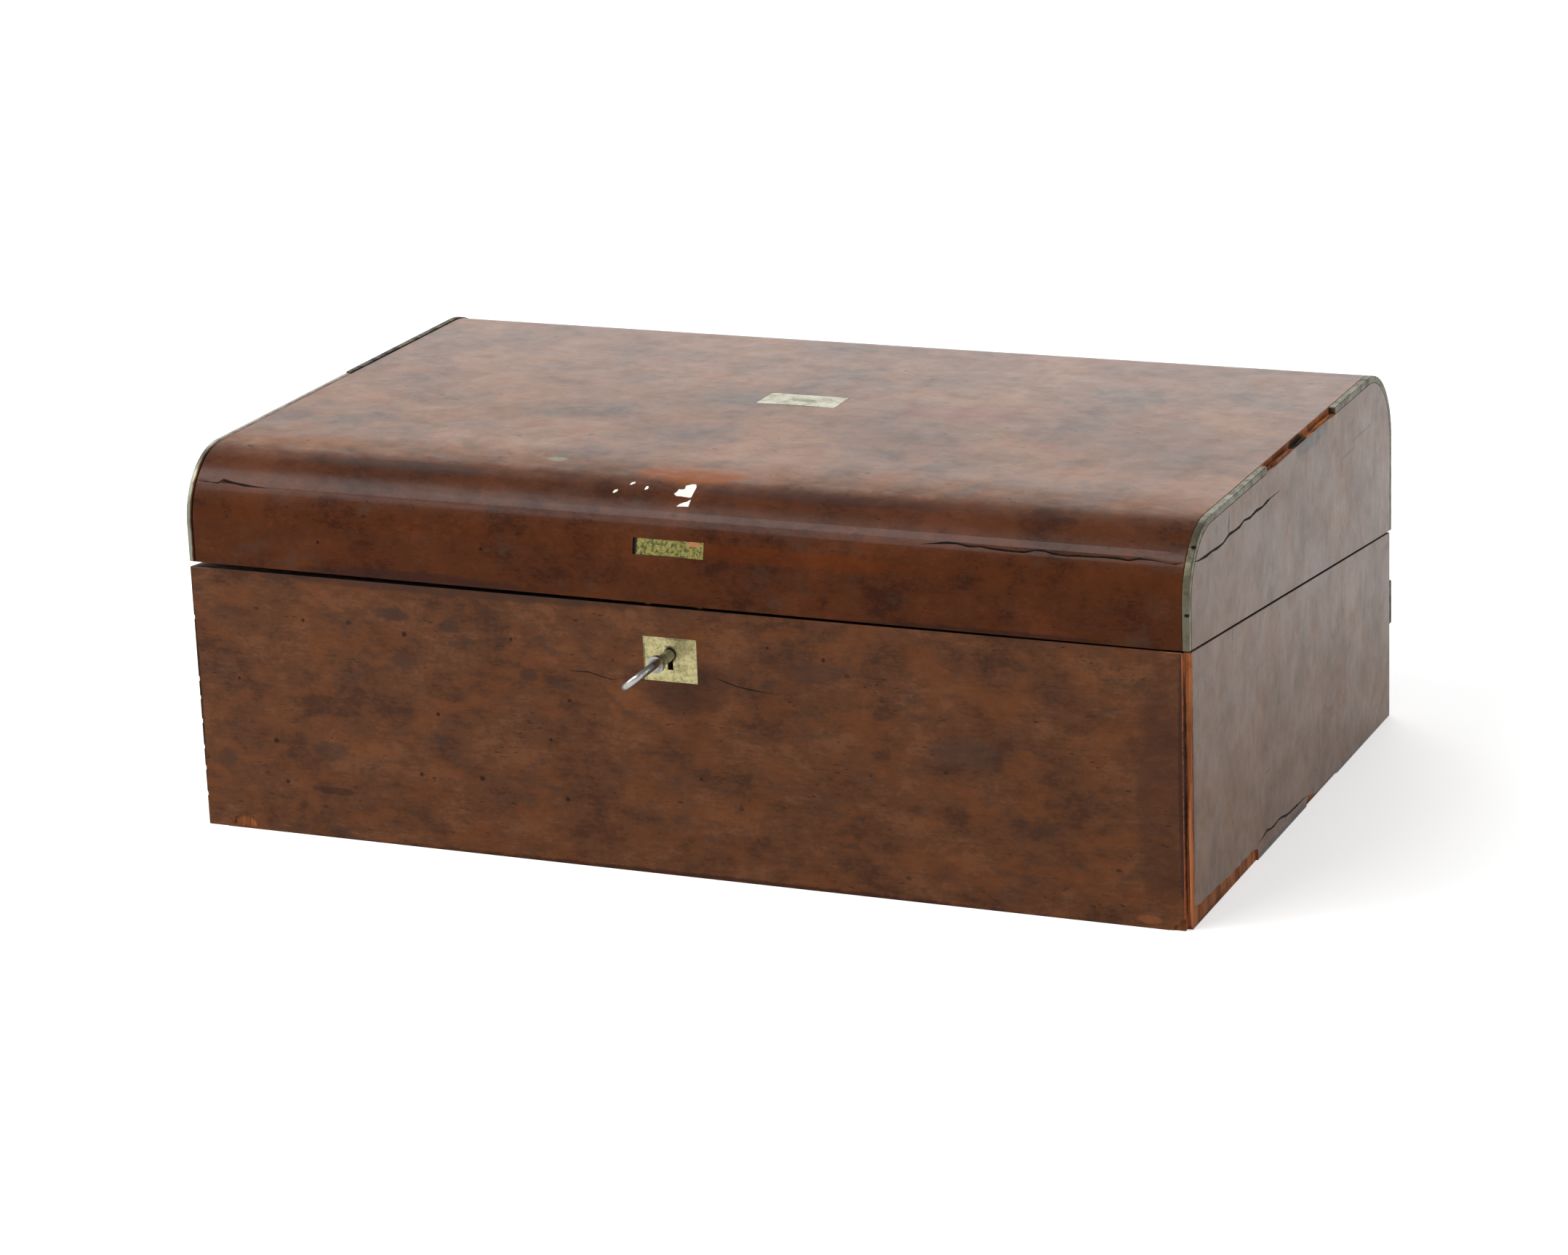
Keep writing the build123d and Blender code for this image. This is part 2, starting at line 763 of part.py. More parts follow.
with BuildPart() as lid_top:
    with BuildSketch(Plane.YZ.offset(-inner_half)):
        lid_board_section(front_shoulder, back_shoulder)
    extrude(amount=inner_width)
    with BuildSketch(Plane.XY.offset(height)):
        draw_nameplate()
    extrude(amount=-nameplate_thickness, mode=Mode.SUBTRACT)
save(lid_top.part, "lid_top")

with BuildPart() as nameplate:
    with BuildSketch(Plane.XY.offset(height)):
        draw_nameplate()
    extrude(amount=-nameplate_thickness)
save(nameplate.part, "nameplate")

with BuildPart() as lid_back:
    with BuildSketch(Plane.YZ.offset(-inner_half)):
        lid_board_section(back_shoulder, depth)
    extrude(amount=inner_width)
    with BuildSketch(lid_under):
        with Locations((-hinge_place, leaf_middle), (hinge_place, leaf_middle)):
            Rectangle(hinge_length, hinge_leaf_width + 2 * hinge_overhang)
    extrude(amount=hinge_leaf, mode=Mode.SUBTRACT)
    with Locations(hinge_axis):
        with Locations((-hinge_place, 0, 0), (hinge_place, 0, 0)):
            add(box_hinge_bore, mode=Mode.SUBTRACT)
    with Locations(lid_facing_down):
        with Locations([(x, -y, 0) for x, y in hinge_screws]):
            add(screw_hole, mode=Mode.SUBTRACT)
    with Locations(rim):
        with Locations(lid_flap_hinges):
            add(lid_flap_hinge_seat, mode=Mode.SUBTRACT)
save(lid_back.part, "lid_back")

# Lid: side boards, rebated along their outer corner for the edging
for side, name, lift in ((-1, "lid_side_left", left_rim_gap), (1, "lid_side_right", rim_gap)):
    with BuildPart() as lid_side:
        with BuildSketch(Plane.YZ.offset(side * half_width)):
            draw_lid_outline(lift=lift)
        extrude(amount=-side * side_board)
        with BuildSketch(Plane.YZ.offset(side * half_width)):
            draw_lid_outline(lift=lift)
            draw_lid_outline(edging, edging, edging, lift=lift - edging, mode=Mode.SUBTRACT)
        extrude(amount=-side * edging, mode=Mode.SUBTRACT)
    save(lid_side.part, name)


def edging_length(side, lift, y_low, y_high, raised=0.0):
    """Build the length of edging between two distances, raised out of its rebate."""
    with BuildPart() as strip:
        with BuildSketch(Plane.YZ.offset(side * half_width)):
            draw_lid_outline(lift=lift)
            draw_lid_outline(edging, edging, edging, lift=lift - edging, mode=Mode.SUBTRACT)
            with Locations(((y_low + y_high) / 2, height / 2)):
                Rectangle(y_high - y_low, 2 * height, mode=Mode.INTERSECT)
        extrude(amount=-side * edging)
    return Pos(0, 0, raised) * strip.part


left_split = left_edging_length - half_depth
right_gap_start = right_edging_length - half_depth
right_gap_end = right_gap_start + right_edging_lost
save(edging_length(-1, left_rim_gap, -depth, left_split), "edging_left_front")
save(edging_length(-1, left_rim_gap, left_split + left_edging_break, depth, left_rear_lift), "edging_left_rear")
save(edging_length(1, rim_gap, -depth, right_gap_start), "edging_right_front")
save(edging_length(1, rim_gap, right_gap_end, depth), "edging_right_rear")

# Lid flap: hangs under the lid's ledges, leather downwards while the box is shut
lid_flap_front = on_rim(front_inner, lid_flap_under) + flap_gap
lid_flap_back = lid_flap_axis - flap_gap / 2
lid_flap_middle = (lid_flap_front + lid_flap_back) / 2
lid_flap_length = lid_flap_back - lid_flap_front
lid_flap_face = rim.offset(lid_flap_under)
save_flap(
    "lid_flap", lid_flap_face, 1, lid_flap_front, lid_flap_back, lid_flap_hinges, lid_flap_hinge_seat
)
save_flap_hinges("lid_flap", 1, lid_flap_hinges)

with BuildPart() as lid_flap_ledges:
    with BuildSketch(rim.offset(lid_flap_under + flap_board + seat_gap)):
        with Locations([(side * (inner_half - ledge_width / 2), lid_flap_middle) for side in (-1, 1)]):
            Rectangle(ledge_width, lid_flap_length - 2 * front_radius)
    extrude(amount=ledge_height)
save(lid_flap_ledges.part, "lid_flap_ledges")

# Lock: case, cap with its drill pin, selvedge, bolt, and the link plate with two staples
guide_width = lock_width / 2 - talon_width / 2 - talon_lug - bolt_throw - 3 * lock_gap
lock_front_y = front_inner - lock_depth
cavity_front = lock_front_y + lock_wall
cavity_back = front_inner - lock_wall
selvedge_under = rim.offset(-selvedge_thickness)
bar_bottom = key_height + bit_reach + bolt_bottom_gap
bar_top = bar_bottom + bolt_bar
staple_bottom = bar_top + lock_gap
eye_bottom = staple_bottom + staple_wall
eye_height = finger_height + 2 * lock_gap
with BuildPart() as lock_case:
    with Locations((0, lock_front_y, lock_bottom)):
        Box(
            lock_width,
            lock_depth - lock_wall,
            lock_height + trim_length,
            align=(Align.CENTER, Align.MIN, Align.MIN),
        )
    with Locations((0, cavity_front, lock_bottom + lock_wall)):
        Box(
            lock_width - 2 * lock_wall,
            lock_depth,
            lock_height + trim_length,
            align=(Align.CENTER, Align.MIN, Align.MIN),
            mode=Mode.SUBTRACT,
        )
    for side in (-1, 1):
        with Locations((side * (lock_width - guide_width) / 2, cavity_front, bar_bottom - lock_gap)):
            Box(
                guide_width,
                cavity_back - cavity_front,
                guide_height,
                align=(Align.CENTER, Align.MIN, Align.MAX),
            )
    split(bisect_by=selvedge_under, keep=Keep.BOTTOM)
    with BuildSketch(Plane.XZ.offset(-lock_front_y)):
        with Locations((0, key_height)):
            draw_keyhole(keyhole_ease)
    extrude(amount=-lock_wall, mode=Mode.SUBTRACT)
save(lock_case.part, "lock_case")

with BuildPart() as lock_cap:
    with Locations((0, cavity_back, lock_bottom)):
        Box(
            lock_width,
            lock_wall,
            lock_height + trim_length,
            align=(Align.CENTER, Align.MIN, Align.MIN),
        )
    split(bisect_by=selvedge_under, keep=Keep.BOTTOM)
    with BuildSketch(Plane.XZ.offset(-cavity_back)):
        with Locations((0, key_height)):
            Circle(drill_pin)
    extrude(amount=cavity_back - cavity_front)
save(lock_cap.part, "lock_cap")

with BuildPart() as lock_selvedge:
    with BuildSketch(rim):
        with Locations((0, selvedge_middle)):
            Rectangle(selvedge_width, selvedge_depth)
        with Locations([(side * staple_place, selvedge_middle + selvedge_slot_shift) for side in (-1, 1)]):
            Rectangle(staple_thickness + 2 * lock_gap, staple_width + 3 * lock_gap, mode=Mode.SUBTRACT)
    extrude(amount=-selvedge_thickness)
    with Locations(rim):
        with Locations([(x, y, 0) for x, y in selvedge_screws]):
            add(screw_hole, mode=Mode.SUBTRACT)
save(lock_selvedge.part, "lock_selvedge")

with BuildPart() as lock_screws:
    with Locations(rim):
        with Locations([(x, y, 0) for x, y in selvedge_screws]):
            add(screw)
save(lock_screws.part, "lock_screws")

finger_bottom = eye_bottom + lock_gap
bar_front = cavity_front + lock_gap
bar_depth = cavity_back - cavity_front - 2 * lock_gap
with BuildPart() as lock_bolt:
    with Locations(((bolt_bar_right - bolt_bar_left) / 2, bar_front, bar_bottom)):
        Box(
            bolt_bar_left + bolt_bar_right,
            bar_depth,
            bolt_bar,
            align=(Align.CENTER, Align.MIN, Align.MIN),
        )
    with Locations([(side * (talon_width + talon_lug) / 2, bar_front, bar_bottom) for side in (-1, 1)]):
        Box(talon_lug, bar_depth, talon_depth, align=(Align.CENTER, Align.MIN, Align.MAX))
    for side in (-1, 1):
        tip = side * staple_place - staple_thickness / 2 - finger_gap
        with Locations((tip - finger_length, lock_middle_y, bar_bottom)):
            Box(
                finger_post,
                bolt_thickness,
                finger_bottom + finger_height - bar_bottom,
                align=(Align.MAX, Align.CENTER, Align.MIN),
            )
        with Locations((tip, lock_middle_y, finger_bottom)):
            Box(
                finger_length + finger_post / 2,
                bolt_thickness,
                finger_height,
                align=(Align.MAX, Align.CENTER, Align.MIN),
            )
save(lock_bolt.part, "lock_bolt")

with BuildPart() as link_plate:
    with BuildSketch(link_under):
        draw_link_plate()
    extrude(amount=selvedge_thickness)
    staple_top = rim_height(lock_middle_y) + link_rise + selvedge_thickness / 2
    for side in (-1, 1):
        with BuildSketch(Plane.YZ.offset(side * staple_place - staple_thickness / 2)):
            with Locations((lock_middle_y, (staple_bottom + staple_top) / 2)):
                Rectangle(staple_width, staple_top - staple_bottom)
            with Locations((lock_middle_y, eye_bottom + eye_height / 2)):
                Rectangle(staple_width - 2 * staple_wall, eye_height, mode=Mode.SUBTRACT)
        extrude(amount=staple_thickness)
    with Locations(link_facing_down):
        with Locations([(x, -y, 0) for x, y in link_screws_at]):
            add(screw_hole, mode=Mode.SUBTRACT)
save(link_plate.part, "link_plate")

with BuildPart() as link_screws:
    with Locations(link_facing_down):
        with Locations([(x, -y, 0) for x, y in link_screws_at]):
            add(screw)
save(link_screws.part, "link_screws")

# Keyhole plate, let in flush with the front
with BuildPart() as escutcheon:
    with BuildSketch(Plane.XZ.offset(half_depth)):
        draw_keyhole_plate()
        with Locations((0, key_height)):
            draw_keyhole(mode=Mode.SUBTRACT)
    extrude(amount=-plate_thickness)
save(escutcheon.part, "escutcheon")

# Key: pipe shank, collar, oval bow of round section and a bit with two wards
key_plane = Plane(
    origin=(0, 0, key_height),
    x_dir=(0, 1, 0),
    z_dir=(cos(radians(key_turn_at_rest)), 0, -sin(radians(key_turn_at_rest))),
)
key_end = cavity_back - lock_gap
bow_middle = -half_depth - bow_start - bow_length / 2
bow_long = (bow_length - bow_rim) / 2
bow_short = (bow_width - bow_rim) / 2
bow_end = bow_long - bow_end_radius
bow_side_radius = (bow_long**2 + bow_short**2 - 2 * bow_long * bow_end_radius) / (
    2 * (bow_short - bow_end_radius)
)
bow_side = bow_side_radius - bow_short
bow_turn = degrees(atan2(bow_side, bow_end))
shank_front = -half_depth - bow_start - bow_rim / 2
with BuildPart() as key:
    with BuildLine(key_plane):
        CenterArc((bow_middle + bow_end, 0), bow_end_radius, -bow_turn, 2 * bow_turn)
        CenterArc((bow_middle, -bow_side), bow_side_radius, bow_turn, 180 - 2 * bow_turn)
        CenterArc((bow_middle - bow_end, 0), bow_end_radius, 180 - bow_turn, 2 * bow_turn)
        CenterArc((bow_middle, bow_side), bow_side_radius, 180 + bow_turn, 180 - 2 * bow_turn)
    with BuildSketch(Plane(key_plane.from_local_coords((bow_middle, bow_short)), z_dir=key_plane.x_dir)):
        Circle(bow_rim / 2)
    sweep()
    with BuildSketch(Plane.XZ.offset(-shank_front)):
        with Locations((0, key_height)):
            Circle(key_shank)
    extrude(amount=shank_front - key_end)
    with BuildSketch(Plane.XZ.offset(half_depth + bow_start - collar_length)):
        with Locations((0, key_height)):
            Circle(collar_radius)
    extrude(amount=collar_length)
    with BuildSketch(key_plane):
        with Locations((key_end - bit_width / 2, -bit_reach / 2)):
            Rectangle(bit_width, bit_reach)
        with Locations((key_end - bit_width / 2, -bit_reach)):
            Rectangle(bit_ward, 2 * bit_ward, mode=Mode.SUBTRACT)
    extrude(amount=bit_thickness / 2, both=True)
    with BuildSketch(Plane.XZ.offset(-key_end)):
        with Locations((0, key_height)):
            Circle(key_bore)
    extrude(amount=key_end - cavity_front + bit_width / 2, mode=Mode.SUBTRACT)
save(key.part, "key")
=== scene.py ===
"""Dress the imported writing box: veneered boards, brass, steel, leather, glass, studio and camera.

Every length is written in millimetres in the row frame (+Z up, keyhole towards -Y) and turned into
metres in one place. Patterns take the same frame through Object coordinates, so a grain or a stain
runs on from board to board as it does on one sheet of veneer.
"""

import logging
import math
from dataclasses import dataclass, field
from enum import Enum, IntEnum
from typing import Callable, Union

import bmesh
import bpy
from mathutils import Matrix, Vector

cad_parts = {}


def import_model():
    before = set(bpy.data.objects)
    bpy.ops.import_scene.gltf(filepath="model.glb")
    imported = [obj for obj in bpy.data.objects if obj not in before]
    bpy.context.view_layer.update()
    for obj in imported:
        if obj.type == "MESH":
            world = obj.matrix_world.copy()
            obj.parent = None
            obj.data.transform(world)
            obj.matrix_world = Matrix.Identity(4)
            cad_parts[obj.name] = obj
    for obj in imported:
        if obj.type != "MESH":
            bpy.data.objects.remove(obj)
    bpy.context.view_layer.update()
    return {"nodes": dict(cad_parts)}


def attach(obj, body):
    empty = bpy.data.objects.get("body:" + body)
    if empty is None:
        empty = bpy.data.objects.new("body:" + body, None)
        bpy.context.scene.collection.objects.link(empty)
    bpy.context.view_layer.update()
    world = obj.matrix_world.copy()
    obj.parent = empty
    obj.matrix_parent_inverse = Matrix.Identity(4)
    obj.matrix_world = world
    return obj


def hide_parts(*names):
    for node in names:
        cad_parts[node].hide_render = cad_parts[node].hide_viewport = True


LOG = logging.getLogger("writing_box")
MM = 0.001

# The box's own sizes, in millimetres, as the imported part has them
HALF_WIDTH = 210.0
HALF_DEPTH = 136.0
HEIGHT = 155.0
RIM_FRONT = 109.5
RIM_BACK = 80.5
FRONT_RADIUS = 28.0
BACK_RADIUS = 34.0
EDGING = 2.8
SIDE_BOARD = 9.0

# The planes of the glued joints: the axis across each one, and its place on that axis
JOINT_PLANES = ((0, HALF_WIDTH - SIDE_BOARD), (1, -HALF_DEPTH + FRONT_RADIUS), (1, HALF_DEPTH - BACK_RADIUS))

# The walls of the inlay's recess lie within this reach of the middle and above this height
INLAY_REACH = 20.0
INLAY_FOOT = 125.0

# How far in from the side the middle of an edging pin lies
PIN_INSET = 0.8

# How a copy of a CAD node is welded and flattened, and beyond what angle its edges are rounded, in
# millimetres and degrees
WELD = 0.002
FLAT_ANGLE = 0.4
SHARP_ANGLE = 38.0

# How sharp an edge has to be to stay sharp when a copy or a sliver is shaded smooth, in degrees
SMOOTH_ANGLE = 32.0
SLIVER_ANGLE = 50.0

# How near a face or an edge lies to the surface that it counts as part of, in millimetres
JOINT_REACH = 0.05
FOOT_REACH = 0.2
SKIN_REACH = 0.3
EASED_REACH = 0.4
RIM_REACH = 0.5
LID_RIM_REACH = 2.6

# How large a normal's part along an axis is on a face that turns towards it, and on one square to it
FACING = 0.3
SQUARE = 0.9

Point = tuple[float, float, float]
Outline = tuple[tuple[float, float], ...]
Mesh = bpy.types.Object
Finish = bpy.types.Material
Socket = bpy.types.NodeSocket
Value = Union[Socket, float]
Tint = Union[Socket, str]
Size = Union[float, Point]
Setting = Union[Socket, Mesh, float, str, bool, tuple]


def rim_height(y: float) -> float:
    """Give the height of the base's rim.

    Args:
        y: distance from the middle of the case, in millimetres.

    Returns:
        The height in millimetres.
    """
    return RIM_BACK + (HALF_DEPTH - y) * (RIM_FRONT - RIM_BACK) / (2 * HALF_DEPTH)


def linear(colour: str) -> tuple[float, float, float, float]:
    """Turn an sRGB hex colour into the linear numbers that the shaders take.

    Args:
        colour: six hexadecimal digits with a leading #.

    Returns:
        Red, green, blue and an alpha of 1.
    """
    channels = []
    for start in (1, 3, 5):
        value = int(colour[start : start + 2], 16) / 255
        channels.append(value / 12.92 if value <= 0.04045 else ((value + 0.055) / 1.055) ** 2.4)
    return (channels[0], channels[1], channels[2], 1.0)


class Grain(Enum):
    """The way that a board's fibres run."""

    ALONG_X = (1.0, 0.0, 0.0)
    ALONG_Y = (0.0, 1.0, 0.0)
    ALONG_Z = (0.0, 0.0, 1.0)


class Surface(Enum):
    """The outer faces that cracks and losses are drawn on."""

    FRONT = "front"
    RIGHT = "right"


class Skin(IntEnum):
    """The finishes that one board can show, in the order of its material slots."""

    BASE = 0
    LID = 1
    SIDE = 2
    BARE = 3
    RIM = 4
    INNER = 5
    UNDERSIDE = 6
    DIRT_AND_SHADE = 7
    RUBBED_AND_HIGHLIT = 8
    SPLIT = 9


@dataclass(frozen=True)
class Mark:
    """A stain, rub or bruise on a surface, placed in the row frame."""

    centre: Point
    radii: Point
    colour: str
    strength: float
    ragged: float = 8.0


class Graph:
    """A small builder for one material's node tree."""

    def __init__(self, name: str) -> None:
        """Make an empty material.

        Args:
            name: the material's name.
        """
        self.material = bpy.data.materials.new(name)
        self.material.use_nodes = True
        self.tree = self.material.node_tree
        self.tree.nodes.clear()

    def node(self, kind: str, **settings: Setting) -> bpy.types.Node:
        """Add a node.

        Args:
            kind: the node's type name.
            settings: its properties.

        Returns:
            The node.
        """
        made = self.tree.nodes.new(kind)
        for key, value in settings.items():
            setattr(made, key, value)
        return made

    def feed(self, socket: Socket, value: Setting) -> None:
        """Link a socket to another, or set its own value.

        Args:
            socket: the input.
            value: an output to link, or a number, vector or colour.
        """
        if isinstance(value, Socket):
            self.tree.links.new(value, socket)
        else:
            socket.default_value = value

    def math(self, operation: str, *values: Value) -> Socket:
        """Add a Math node.

        Args:
            operation: its operation.
            values: its inputs.

        Returns:
            Its result.
        """
        made = self.node("ShaderNodeMath", operation=operation)
        for socket, value in zip(made.inputs, values):
            self.feed(socket, value)
        return made.outputs[0]

    def vector(self, operation: str, first: Socket, *others: Union[Socket, Point]) -> Socket:
        """Add a Vector Math node.

        Args:
            operation: its operation.
            first: its first input.
            others: its other inputs.

        Returns:
            Its result.
        """
        made = self.node("ShaderNodeVectorMath", operation=operation)
        for socket, value in zip(made.inputs, (first, *others)):
            self.feed(socket, value)
        return made.outputs["Value"] if operation == "LENGTH" else made.outputs["Vector"]

    def place(self) -> Socket:
        """Give the place on the object in millimetres."""
        coordinates = self.node("ShaderNodeTexCoord").outputs["Object"]
        return self.vector("MULTIPLY", coordinates, (1 / MM, 1 / MM, 1 / MM))

    def turned(self, place: Socket, degrees: float) -> Socket:
        """Turn a place about the vertical axis.

        Args:
            place: the place in millimetres.
            degrees: how far it is turned.

        Returns:
            The turned place.
        """
        made = self.node("ShaderNodeVectorRotate", rotation_type="Z_AXIS")
        self.feed(made.inputs["Vector"], place)
        self.feed(made.inputs["Angle"], math.radians(degrees))
        return made.outputs[0]

    def split(self, vector: Socket) -> list[Socket]:
        """Give a vector's three parts.

        Args:
            vector: the vector.

        Returns:
            Its x, y and z.
        """
        made = self.node("ShaderNodeSeparateXYZ")
        self.feed(made.inputs[0], vector)
        return list(made.outputs)

    def scaled(self, place: Socket, size: Size, shift: float) -> Socket:
        """Scale a place so that one unit is one feature of a pattern.

        Args:
            place: the place in millimetres.
            size: one size, or one along each axis, in millimetres.
            shift: an offset that makes one pattern differ from another.

        Returns:
            The scaled place.
        """
        sizes = (size, size, size) if isinstance(size, (int, float)) else tuple(size)
        return self.vector("ADD", self.vector("DIVIDE", place, sizes), (shift, shift * 1.7, shift * 0.6))

    def noise(
        self,
        place: Socket,
        size: Size,
        detail: float = 3.0,
        rough: float = 0.55,
        warp: float = 0.0,
        shift: float = 0.0,
    ) -> Socket:
        """Add a noise whose features have the given size in millimetres.

        Args:
            place: the place in millimetres.
            size: one size, or one along each axis.
            detail: octaves of finer detail.
            rough: strength of that detail.
            warp: distortion.
            shift: an offset that makes one noise differ from another.

        Returns:
            The noise's value, about 0.5 on average.
        """
        made = self.node("ShaderNodeTexNoise")
        self.feed(made.inputs["Vector"], self.scaled(place, size, shift))
        for name, value in (("Scale", 1.0), ("Detail", detail), ("Roughness", rough), ("Distortion", warp)):
            made.inputs[name].default_value = value
        return made.outputs[0]

    def cells(self, place: Socket, size: Size, shift: float = 0.0) -> Socket:
        """Add a cell pattern.

        Args:
            place: the place in millimetres.
            size: one size, or one along each axis.
            shift: an offset.

        Returns:
            The distance to the nearest cell's middle, in cells.
        """
        made = self.node("ShaderNodeTexVoronoi")
        self.feed(made.inputs["Vector"], self.scaled(place, size, shift))
        made.inputs["Scale"].default_value = 1.0
        return made.outputs["Distance"]

    def remap(
        self, value: Value, low: float, high: float, to_low: float = 0.0, to_high: float = 1.0
    ) -> Socket:
        """Turn one range smoothly into another, held at both ends.

        Args:
            value: the number.
            low: where the range starts.
            high: where it ends.
            to_low: the result at its start.
            to_high: the result at its end.

        Returns:
            The result.
        """
        made = self.node("ShaderNodeMapRange", interpolation_type="SMOOTHSTEP")
        for socket, number in zip(made.inputs, (value, low, high, to_low, to_high)):
            self.feed(socket, number)
        return made.outputs[0]

    def mix(self, factor: Value, first: Tint, second: Tint) -> Socket:
        """Mix two colours.

        Args:
            factor: how much of the second shows.
            first: a socket or a hex colour.
            second: a socket or a hex colour.

        Returns:
            The mixed colour.
        """
        made = self.node("ShaderNodeMix", data_type="RGBA")
        self.feed(made.inputs["Factor"], factor)
        sockets = [s for s in made.inputs if s.type == "RGBA"]
        for socket, colour in zip(sockets, (first, second)):
            self.feed(socket, linear(colour) if isinstance(colour, str) else colour)
        return [s for s in made.outputs if s.type == "RGBA"][0]

    def band(self, value: Value, low: float, high: float, soft: float) -> Socket:
        """Give 1 between two numbers and 0 beyond them.

        Args:
            value: the number.
            low: the lower end.
            high: the upper end.
            soft: half the width of each edge.

        Returns:
            The result.
        """
        rise = self.remap(value, low - soft, low + soft)
        fall = self.remap(value, high - soft, high + soft, 1.0, 0.0)
        return self.math("MULTIPLY", rise, fall)

    def times(self, *values: Value) -> Socket:
        """Multiply several numbers.

        Args:
            values: sockets or numbers.

        Returns:
            Their product.
        """
        result = values[0]
        for value in values[1:]:
            result = self.math("MULTIPLY", result, value)
        return result

    def total(self, *values: Value) -> Socket:
        """Add several numbers.

        Args:
            values: sockets or numbers.

        Returns:
            Their sum.
        """
        result = values[0]
        for value in values[1:]:
            result = self.math("ADD", result, value)
        return result

    def stain(self, colour: Tint, place: Socket, mark: Mark, seed: float) -> Socket:
        """Lay a mark with a ragged edge over a colour.

        Args:
            colour: the colour so far.
            place: the place in millimetres.
            mark: the mark.
            seed: the finish's own offset.

        Returns:
            The colour with the mark.
        """
        offset = self.vector("SUBTRACT", place, mark.centre)
        distance = self.vector("LENGTH", self.vector("DIVIDE", offset, mark.radii))
        soft = self.remap(distance, 0.0, 1.15, 0.75, 0.0)
        edge = self.noise(place, mark.ragged, detail=5, rough=0.68, shift=seed + mark.centre[0] * 0.013)
        worn = self.remap(self.total(soft, self.times(edge, 0.6)), 0.58, 0.86)
        return self.mix(self.times(worn, mark.strength), colour, mark.colour)

    def dot(self, colour: Tint, place: Socket, centre: Point, radius: float) -> Socket:
        """Lay a small dark dent over a colour.

        Args:
            colour: the colour so far.
            place: the place in millimetres.
            centre: the dent's middle.
            radius: its radius.

        Returns:
            The colour with the dent.
        """
        distance = self.vector("LENGTH", self.vector("SUBTRACT", place, centre))
        return self.mix(self.remap(distance, radius * 0.5, radius * 1.2, 0.85, 0.0), colour, "#150D0A")

    def bump(self, height: Value, distance: float) -> Socket:
        """Turn a height of 0 to 1 into a normal.

        Args:
            height: the height.
            distance: how deep it is, in millimetres.

        Returns:
            The normal.
        """
        made = self.node("ShaderNodeBump")
        made.inputs["Strength"].default_value = 1.0
        made.inputs["Distance"].default_value = distance * MM
        self.feed(made.inputs["Height"], height)
        return made.outputs["Normal"]

    def finish(self, colour: Tint, roughness: Value, normal: Socket, **settings: Value) -> Finish:
        """Close the tree with a Principled shader.

        Args:
            colour: the base colour, a socket or a hex colour.
            roughness: a socket or a number.
            normal: the bump's normal.
            settings: other sockets by their name with underscores for spaces.

        Returns:
            The finished material.
        """
        shader = self.node("ShaderNodeBsdfPrincipled")
        self.feed(shader.inputs["Base Color"], linear(colour) if isinstance(colour, str) else colour)
        self.feed(shader.inputs["Roughness"], roughness)
        self.feed(shader.inputs["Normal"], normal)
        for key, value in settings.items():
            self.feed(shader.inputs[key.replace("_", " ")], value)
        output = self.node("ShaderNodeOutputMaterial")
        self.tree.links.new(shader.outputs[0], output.inputs["Surface"])
        return self.material


